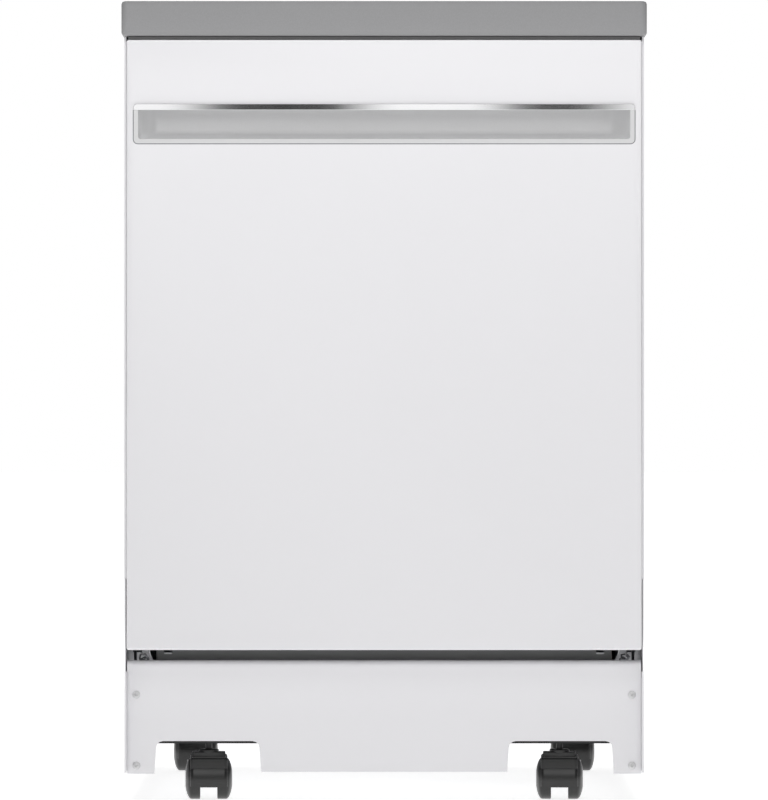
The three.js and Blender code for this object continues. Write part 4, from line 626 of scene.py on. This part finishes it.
def fender_outline(drop):
    """A fender from the side: round in front, a flat brow above, its outside set in by drop."""
    inner, outer = HOOD_INNER - 0.6 * drop, HOOD_R - drop
    round_front = arc(AXLE, outer, HOOD_LIP, FENDER_BREAK, 10)
    face = round_front[-1][0] + FENDER_STEP[0]
    step = round_front[-1][1] + FENDER_STEP[1]
    top = FENDER_TOP - drop
    brow = rounded([(face, step), (face, top), (BROW_END, top)], BROW_RADIUS)
    underside = arc(AXLE, inner, HOOD_REAR, HOOD_LIP, 28)
    return underside + round_front + brow + arc(AXLE, outer, BROW_BACK, HOOD_REAR, 14)


def caster_fender(name):
    """The fender's side edges round over toward the wheels."""
    run, fall = FENDER_EDGE
    turns = angles(7, 0, 90)
    left = [(fall * (1 - math.sin(t)), -HOOD_HALF + run * (1 - math.cos(t))) for t in turns]
    columns = left + [(drop, -x) for drop, x in reversed(left)]
    place = caster_place(name)
    bm = bmesh.new()
    sections = [(fender_outline(drop), x) for drop, x in columns]
    loft(bm, sections, lambda u, v, w: place @ across(u, v, w))
    return mesh_object("fender_" + name, bm, "caster_plastic", "caster_hood_" + name)


def block_outline():
    """The block round the stem from the side, with a nose along its lower front edge."""
    low, high = BLOCK_Z
    front = -BLOCK_REACH
    block = [(BLOCK_REACH, high), (front + 1.2 * MM, high), (front + 1 * MM, low)]
    block += [(front, low - 1.4 * MM), (front + 0.7 * MM, low - 2.4 * MM)]
    return block + [(front + 5 * MM, low - 3.4 * MM), (BLOCK_REACH, low - 3.4 * MM)]


def caster_collar(name):
    base = BLOCK_Z[1] - 2 * MM
    collar = [(STEM_BORE, base), (COLLAR_R, base), (COLLAR_R, COLLAR_Z - 1 * MM)]
    collar += [(COLLAR_R - 1 * MM, COLLAR_Z), (STEM_BORE, COLLAR_Z)]
    bm = bmesh.new()
    lathe(bm, collar, caster_place(name), 40)
    return mesh_object("collar_" + name, bm, "caster_plastic", "caster_hood_" + name)


def caster_hood(name):
    web = arc(AXLE, HOOD_INNER + 1 * MM, HOOD_LIP, HOOD_REAR, 24)
    web += arc(AXLE, WEB_NOTCH, 0, -90, 8)
    pieces = [
        caster_fender(name),
        hood_piece(name, "web", web, WEB_HALF, 0.6 * MM),
        hood_piece(name, "block", block_outline(), BLOCK_HALF, 0.7 * MM),
        caster_collar(name),
    ]
    body = "caster_hood_" + name
    for piece in pieces:
        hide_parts(body)


# ------------------------------------------------------------------ door and seals


def pocket_section(face, low, top):
    """The scoop from the side: lower lip, up the leaning back, to the roof behind the grip."""
    back = face + POCKET_DEPTH
    roof = top + FINGER_ROOM
    run, rise = POCKET_CURVE
    start, bend = back - POCKET_LEAN - run, POCKET_BEND
    section = [(face - POCKET_LIP, low), (face + 1 * MM, low)]
    for t in angles(14, -90, -13):
        section.append((start + run * math.cos(t), low + rise + rise * math.sin(t)))
    y, z = section[-1]
    section += [(y + (back - y) * t, z + (roof - bend - z) * t) for t in evenly(6, 0.15, 0.98)]
    section += arc((back - bend, roof - bend), bend, 4, 90, 8)

    # Forward under the roof, then down to the grip's underside
    section += [(face + 9 * MM, roof), (face + 6 * MM, roof - 4 * MM)]
    return section + [(face + 3 * MM, top + 1.5 * MM), (face - 0.6 * MM, top + 0.3 * MM)]


def pocket_scoop(face, half, low, top):
    """The hollow behind the mouth. Both ends curve forward to it."""
    section = pocket_section(face, low, top)
    turns = angles(14, 1.5, 90)
    left = [(-half + POCKET_END * (1 - math.cos(t)), math.sin(t)) for t in turns]
    columns = left + [(-x, share) for x, share in reversed(left)]
    bm = bmesh.new()
    rows = []
    for x, share in columns:
        row = []
        for y, z in section:
            flat = max(min(z, top), low)
            depth = face - POCKET_LIP + (y - face + POCKET_LIP) * share
            row.append(bm.verts.new((x, depth, flat + (z - flat) * share)))
        rows.append(row)
    for a, b in zip(rows, rows[1:]):
        for k in range(len(section) - 1):
            bm.faces.new([a[k], a[k + 1], b[k + 1], b[k]])
    bm.faces.new(reversed(rows[0]))
    bm.faces.new(rows[-1])
    scoop = mesh_object("pocket_scoop", bm, "silver_plastic", "door")
    wall = scoop.modifiers.new("wall", "SOLIDIFY")
    wall.thickness = POCKET_WALL
    wall.offset = 1.0
    scoop.modifiers.move(1, 0)
    return scoop


def bezel_ring(half, low, top, grow):
    """Outline of the rim below and beside the mouth, its outside larger by grow."""
    side, bottom, mouth = half + grow, low - POCKET_BORDER - grow, half - POCKET_BORDER
    r, inner = BEZEL_RADIUS + grow, BEZEL_RADIUS * 0.6
    ring = [(-side, top)] + arc((-side + r, bottom + r), r, 180, 270, 8)
    ring += arc((side - r, bottom + r), r, 270, 360, 8) + [(side, top), (mouth, top)]
    ring += arc((mouth - inner, low + inner), inner, 0, -90, 6)
    return ring + arc((-mouth + inner, low + inner), inner, 270, 180, 6) + [(-mouth, top)]


def pocket_bezel(face, half, low, top):
    """Flat rim round the mouth, on a dark ring that shows round it as a thin line: a painted
    shadow line for the gap round the bezel.
    """
    rims = [
        ("pocket_bezel", 0, BEZEL_PROUD, "silver_plastic", RIM_LACQUER),
        # The dark zinc ring is the painted shadow line round the bezel
        ("pocket_shadow_line", SHADOW_LINE_GROW, SHADOW_LINE_PROUD, "zinc_steel", None),
    ]
    pieces = []
    for name, grow, proud, slot, finish in rims:
        bm = bmesh.new()
        prism(bm, bezel_ring(half, low, top, grow), (face - proud, face + 0.3 * MM), facing)
        pieces.append(mesh_object(name, bm, slot, "door", 0.3 * MM, 1, finish))
    return pieces


def handle_pocket():
    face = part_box("door_outer_panel")[0][1]
    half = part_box("handle_grip")[1][0]
    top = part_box("handle_grip")[0][2]
    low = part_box("handle_pocket")[0][2] + POCKET_BORDER
    scoop = pocket_scoop(face, half - POCKET_BORDER, low, top)
    for piece in [scoop] + pocket_bezel(face, half, low, top):
        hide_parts("handle_pocket")


def handle_grip():
    """Bright strip along the top of the pocket, with rounded upper corners and a thin chamfer."""
    low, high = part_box("handle_grip")
    r = GRIP_CORNER
    outline = [(low[0], low[2]), (high[0], low[2])]
    outline += arc((high[0] - r, high[2] - r), r, 0, 90, 10)
    outline += arc((low[0] + r, high[2] - r), r, 90, 180, 10)
    bm = bmesh.new()
    prism(bm, outline, (low[1], high[1]), facing)
    piece = mesh_object("grip_strip", bm, "chrome", "door", GRIP_CHAMFER, 1)
    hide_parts("handle_grip")


def sill_seal():
    """Rubber strip over the tub's front lip, lower where the rack wheels roll over it. Its dark
    band also stands in for the shade in the gap under the door: painted shade.
    """
    front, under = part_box("tub")[0][1:]
    inner, outer = NOTCH_X
    right = [(inner, SILL_TOP), (inner, NOTCH_Z), (outer, NOTCH_Z), (outer, SILL_TOP)]
    right += [(SILL_HALF, SILL_TOP), (SILL_HALF, under + SILL_FOOT)]
    outline = right + [(-x, z) for x, z in reversed(right)]
    bm = bmesh.new()
    prism(bm, outline, [front + reach for reach in SILL_REACH], facing)
    mesh_object("sill_seal", bm, "rubber", "cabinet", 0.4 * MM, 1, SILL_SHADE_RUBBER)


def worktop_seal():
    """Bulb strip under the worktop's front, just over the door's top edge: a dark strip that
    stands in for the shade of the gap there, painted shade.
    """
    door_low, door_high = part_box("door_outer_panel")
    low, high = door_high[2] + TOP_SEAL_GAP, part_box("countertop")[0][2]
    half = door_high[0] - TOP_SEAL_INSET
    bulb, foot = [door_low[1] + depth for depth in TOP_SEAL_DEPTHS]
    radius = (high - low) / 2
    outline = [(foot, high), (foot, low + 0.2 * MM)]
    outline += arc((bulb, low + radius), radius, 270, 90, 8)
    bm = bmesh.new()
    prism(bm, outline, (-half, half), across)
    mesh_object("worktop_seal", bm, "rubber", "cabinet", finish=TOP_SHADE_RUBBER)


# ------------------------------------------------------------------ racks


def basket_runs(floor, rim, cross_ys, length_xs):
    """The crossed wires of a rack's floor, bent up to its rim, and the two rings round it."""
    level = floor + 2 * WIRE
    half, front, back = RACK_HALF, RACK_FRONT, RACK_BACK
    runs = []
    for x in length_xs:
        bent = [(x, front, rim), (x, front, floor), (x, back, floor), (x, back, rim)]
        runs.append((rounded(bent, BEND), WIRE, False))
    for y in cross_ys:
        bent = [(-half, y, rim), (-half, y, level), (half, y, level), (half, y, rim)]
        runs.append((rounded(bent, BEND), WIRE, False))
    for z, radius in (((floor + rim) / 2 + RING_RISE, WIRE), (rim, RIM_WIRE)):
        loop = [(-half, front, z), (half, front, z), (half, back, z), (-half, back, z)]
        runs.append((rounded(loop, CORNER, True), radius, True))
    return runs


def tine_runs(xs, ys, floor):
    level = floor + 2 * WIRE
    runs = []
    for y in ys:
        for x in xs:
            top = (x, y + TINE_LEAN, level + TINE_HEIGHT)
            runs.append(([(x, y, level), top], TINE_WIRE, False))
    return runs


def wheel_bracket(bm, side, near, far):
    """A plate between two cross wires, and the stub that a rack wheel turns on."""
    y = (near + far) / 2
    inner = side * (RACK_HALF - 2 * MM)
    outer = inner + side * BRACKET_THICK
    top, shoulder, foot = BRACKET_Z
    wide, narrow = BRACKET_HALF
    profile = [(near, top), (near, shoulder), (y - wide, shoulder), (y - narrow, foot)]
    profile += [(y + narrow, foot), (y + wide, shoulder), (far, shoulder), (far, top)]
    prism(bm, profile, (inner, outer), across)
    reach = side * (STUB_END - abs(inner))
    neck = reach - side * STUB_HEAD
    thin, thick = STUB_R
    stub = [(0, 0), (thin, 0), (thin, neck), (thick, neck), (thick, reach), (0, reach)]
    lathe(bm, stub, turned((inner, y, STUB_Z), 90, "Y"), 20)


def lower_rack():
    cross = evenly(6, RACK_FRONT + LOWER_GAP, RACK_BACK - LOWER_GAP)
    fine_cross = evenly(11, cross[0], cross[-1])
    lengths = evenly(9, -RACK_HALF + SIDE_GAP, RACK_HALF - SIDE_GAP)
    runs = basket_runs(LOWER_FLOOR, LOWER_RIM, fine_cross, lengths)
    runs += tine_runs(evenly(9, -0.09, 0.2), [cross[1], cross[2]], LOWER_FLOOR)
    runs += tine_runs(evenly(13, -0.2, 0.2), [cross[4]], LOWER_FLOOR)
    pieces = [wires("lower_rack_wires", runs, "coated_wire", "lower_rack")]
    bm = bmesh.new()
    for side in (-1, 1):
        for near, far in ((cross[0], cross[1]), (cross[4], cross[5])):
            wheel_bracket(bm, side, near, far)
    pieces.append(mesh_object("lower_rack_brackets", bm, "grey_plastic", "lower_rack", 0.8 * MM))
    for piece in pieces:
        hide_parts("lower_rack")


def upper_rack():
    cross = evenly(9, RACK_FRONT + UPPER_GAP, RACK_BACK - UPPER_GAP)
    lengths = evenly(9, -RACK_HALF + SIDE_GAP, RACK_HALF - SIDE_GAP)
    runs = basket_runs(UPPER_FLOOR, UPPER_RIM, cross, lengths)
    level = UPPER_FLOOR + 2 * WIRE
    lean, height = CUP_TINE
    for x, inward in ((lengths[2], lean), (lengths[6], -lean)):
        for y in cross[1:-1]:
            runs.append(([(x, y, level), (x + inward, y, level + height)], TINE_WIRE, False))
    pieces = [wires("upper_rack_wires", runs, "coated_wire", "upper_rack")]
    bm = bmesh.new()
    for side in (-1, 1):
        inner, outer = side * (RACK_HALF - 1 * MM), side * (RACK_HALF + 3 * MM)
        cuboid(bm, (inner, CARRIER_Y[0], CARRIER_Z[0]), (outer, CARRIER_Y[1], CARRIER_Z[1]))
        for y in ROLLER_Y:
            on_axle = turned((0, y, ROLLER_Z), 90, "Y")
            for radius, near, far in (ROLLER, ROLLER_AXLE):
                profile = [(0, near), (radius, near), (radius, far), (0, far)]
                lathe(bm, [(r, side * h) for r, h in profile], on_axle, 24)
    pieces.append(mesh_object("upper_rack_carriers", bm, "grey_plastic", "upper_rack", 0.6 * MM))
    for piece in pieces:
        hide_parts("upper_rack")


# ------------------------------------------------------------------ screws and glands


def pan_head(bm, place, radius, height):
    """A domed head with a small dimple for the driver."""
    dome = [(radius * math.cos(t), height * math.sin(t)) for t in angles(7, 0, 70)]
    dimple = [(0.26 * radius, 0.5 * height), (0, 0.5 * height)]
    lathe(bm, [(0, 0)] + dome + dimple, place, 28)


def skirt_screws():
    """Two white-painted pan-head screws down each end of the skirt, drawn in the bezel's grey
    lacquer: painted shade that makes the heads show.
    """
    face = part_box("kick_panel")[0][1]
    bm = bmesh.new()
    for x in (-SKIRT_SCREW_X, SKIRT_SCREW_X):
        for z in SKIRT_SCREW_Z:
            pan_head(bm, turned((x, face, z), 90, "X"), *SKIRT_HEAD)
    # Grey lacquer on the white-painted screws is painted shade
    mesh_object("skirt_screws", bm, "white_paint", "cabinet", finish=RIM_LACQUER)


def back_screws():
    """Four screws down each side of the back panel."""
    low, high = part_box("back_panel")
    side, end = BACK_SCREW_INSET
    bm = bmesh.new()
    for x in (low[0] + side, high[0] - side):
        for z in evenly(4, low[2] + end, high[2] - end):
            pan_head(bm, turned((x, BACK_FACE, z), -90, "X"), *BACK_HEAD)
    mesh_object("back_screws", bm, "zinc_steel", "cabinet")


def gland_diaphragms():
    """Thin rubber cups that close the two glands of the hose bin."""
    inner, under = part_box("hose_bin")[0][1:]
    bm = bmesh.new()
    for x, bore in GLANDS:
        place = turned((x, inner + GLAND_SINK, under + GLAND_RISE), -90, "X")
        cup = [(0, -1 * MM), (0.3 * bore, -1 * MM), (0.5 * bore, 1 * MM), (0.8 * bore, -1.6 * MM)]
        cup += [(bore - 0.3 * MM, 0.6 * MM), (bore - 0.3 * MM, 2.4 * MM), (0.8 * bore, 0)]
        cup += [(0.5 * bore, 2.4 * MM), (0.3 * bore, 0.4 * MM), (0, 0.4 * MM)]
        lathe(bm, cup, place, 40)
    mesh_object("gland_diaphragms", bm, "rubber", "cabinet")


# ------------------------------------------------------------------ solids


def dress_nodes():
    """Gives each CAD node its material and smooth shading."""
    slots = {part["node"]: part["material_slot"] for part in frame["record"]["subparts"]}
    for name, obj in nodes.items():
        obj.data.materials.clear()
        obj.data.materials.append(MATERIALS[slots[name]])
        smooth(obj)


# ------------------------------------------------------------------ studio


def camera():
    data = bpy.data.cameras.new("camera")
    data.sensor_width = SENSOR
    data.lens = FOCAL_PX / IMAGE[1] * SENSOR
    data.shift_x = (IMAGE[0] / 2 - CENTRE_PX[0]) / IMAGE[1]
    data.shift_y = (CENTRE_PX[1] - IMAGE[1] / 2) / IMAGE[1]
    data.clip_end = 100
    made = bpy.data.objects.new("camera", data)
    made.location = EYE
    made.rotation_euler = (math.pi / 2, 0, 0)
    bpy.context.scene.collection.objects.link(made)
    bpy.context.scene.camera = made


def area_light(name, place, target, size, power):
    data = bpy.data.lights.new(name, "AREA")
    data.shape = "RECTANGLE"
    data.size, data.size_y = size
    data.energy = power
    made = bpy.data.objects.new(name, data)
    made.location = place
    made.rotation_euler = (Vector(target) - Vector(place)).to_track_quat("-Z", "Y").to_euler()
    made.visible_camera = False
    bpy.context.scene.collection.objects.link(made)


def stage_sheet(name, size, material, matrix=Matrix.Identity(4)):
    """A flat sheet that belongs to the studio."""
    bm = bmesh.new()
    bmesh.ops.create_grid(bm, x_segments=1, y_segments=1, size=0.5)
    bmesh.ops.transform(bm, matrix=matrix @ Matrix.Diagonal((*size, 1, 1)), verts=bm.verts)
    mesh = bpy.data.meshes.new(name)
    bm.to_mesh(mesh)
    bm.free()
    sheet = bpy.data.objects.new(name, mesh)
    bpy.context.scene.collection.objects.link(sheet)
    mesh.materials.append(material)
    return sheet


def backdrop():
    """White behind the object, and a softer grey round it that only lights it."""
    world = bpy.data.worlds.new("studio")
    bpy.context.scene.world = world
    world.use_nodes = True
    tree = world.node_tree
    paper = tree.nodes["Background"]
    paper.inputs["Color"].default_value = (1, 1, 1, 1)
    paper.inputs["Strength"].default_value = 1.0
    room = tree.nodes.new("ShaderNodeBackground")
    room.inputs["Color"].default_value = (1, 1, 1, 1)
    room.inputs["Strength"].default_value = ROOM_LIGHT
    rays = tree.nodes.new("ShaderNodeLightPath")
    mix = tree.nodes.new("ShaderNodeMixShader")
    tree.links.new(rays.outputs["Is Camera Ray"], mix.inputs[0])
    tree.links.new(room.outputs[0], mix.inputs[1])
    tree.links.new(paper.outputs[0], mix.inputs[2])
    tree.links.new(mix.outputs[0], tree.nodes["World Output"].inputs["Surface"])


def pale_floor():
    """Paper that shows a faint contact shadow near the machine and is plain white farther out."""
    ground = Shader("pale_floor", (0.8, 0.8, 0.8), 0.8, Specular_IOR_Level=0.1)
    ground.vary_roughness(3, 0.05)
    distance = ground.node("ShaderNodeVectorMath", operation="LENGTH")
    fade = ground.node("ShaderNodeMapRange")
    fade.inputs["From Min"].default_value, fade.inputs["From Max"].default_value = FLOOR_FADE
    fade.inputs["To Min"].default_value, fade.inputs["To Max"].default_value = FLOOR_GLOW, 1.0
    ground.link(ground.coordinates(), distance.inputs[0])
    ground.link(distance.outputs["Value"], fade.inputs["Value"])
    ground.bsdf.inputs["Emission Color"].default_value = (1, 1, 1, 1)
    ground.link(fade.outputs["Result"], ground.bsdf.inputs["Emission Strength"])
    stage_sheet("floor", (60, 60), ground.material)


def reflector_board():
    """A board before the machine with two dark stripes, seen only in bright metal."""
    board = Shader("board_stripes", (0, 0, 0), 1.0, Specular_IOR_Level=0.0)
    place = board.node("ShaderNodeTexCoord")
    split = board.node("ShaderNodeSeparateXYZ")
    spread = board.node("ShaderNodeMapRange")
    ramp = board.node("ShaderNodeValToRGB")
    spread.inputs["From Min"].default_value = -BOARD_SIZE[0] / 2
    spread.inputs["From Max"].default_value = BOARD_SIZE[0] / 2
    board.link(place.outputs["Object"], split.inputs[0])
    board.link(split.outputs["X"], spread.inputs["Value"])
    board.link(spread.outputs["Result"], ramp.inputs["Fac"])
    board.link(ramp.outputs["Color"], board.bsdf.inputs["Emission Color"])
    board.bsdf.inputs["Emission Strength"].default_value = 1.0
    ramp.color_ramp.interpolation = "EASE"
    points = ramp.color_ramp.elements
    for end in points:
        end.color = (1, 1, 1, 1)
    dark = STRIPE_LEVEL
    for low, high, before, after in BOARD_STRIPES:
        for x, level in ((low - before, 1), (low, dark), (high, dark), (high + after, 1)):
            points.new(0.5 + x / BOARD_SIZE[0]).color = (level, level, level, 1)
    upright = turned(BOARD_PLACE, 90, "X")
    sheet = stage_sheet("reflector_board", BOARD_SIZE, board.material, upright)
    sheet.visible_camera = False
    sheet.visible_diffuse = False
    sheet.visible_shadow = False
    sheet.visible_transmission = False


def studio():
    bpy.context.scene.view_settings.view_transform = "Standard"
    backdrop()
    pale_floor()
    reflector_board()
    for light in LIGHTS:
        area_light(*light)


# ------------------------------------------------------------------ assembly

camera()
studio()
dress_nodes()
for caster in CASTERS:
    caster_wheels(caster)
    caster_hood(caster)
handle_pocket()
handle_grip()
sill_seal()
worktop_seal()
lower_rack()
upper_rack()
skirt_screws()
back_screws()
gland_diaphragms()
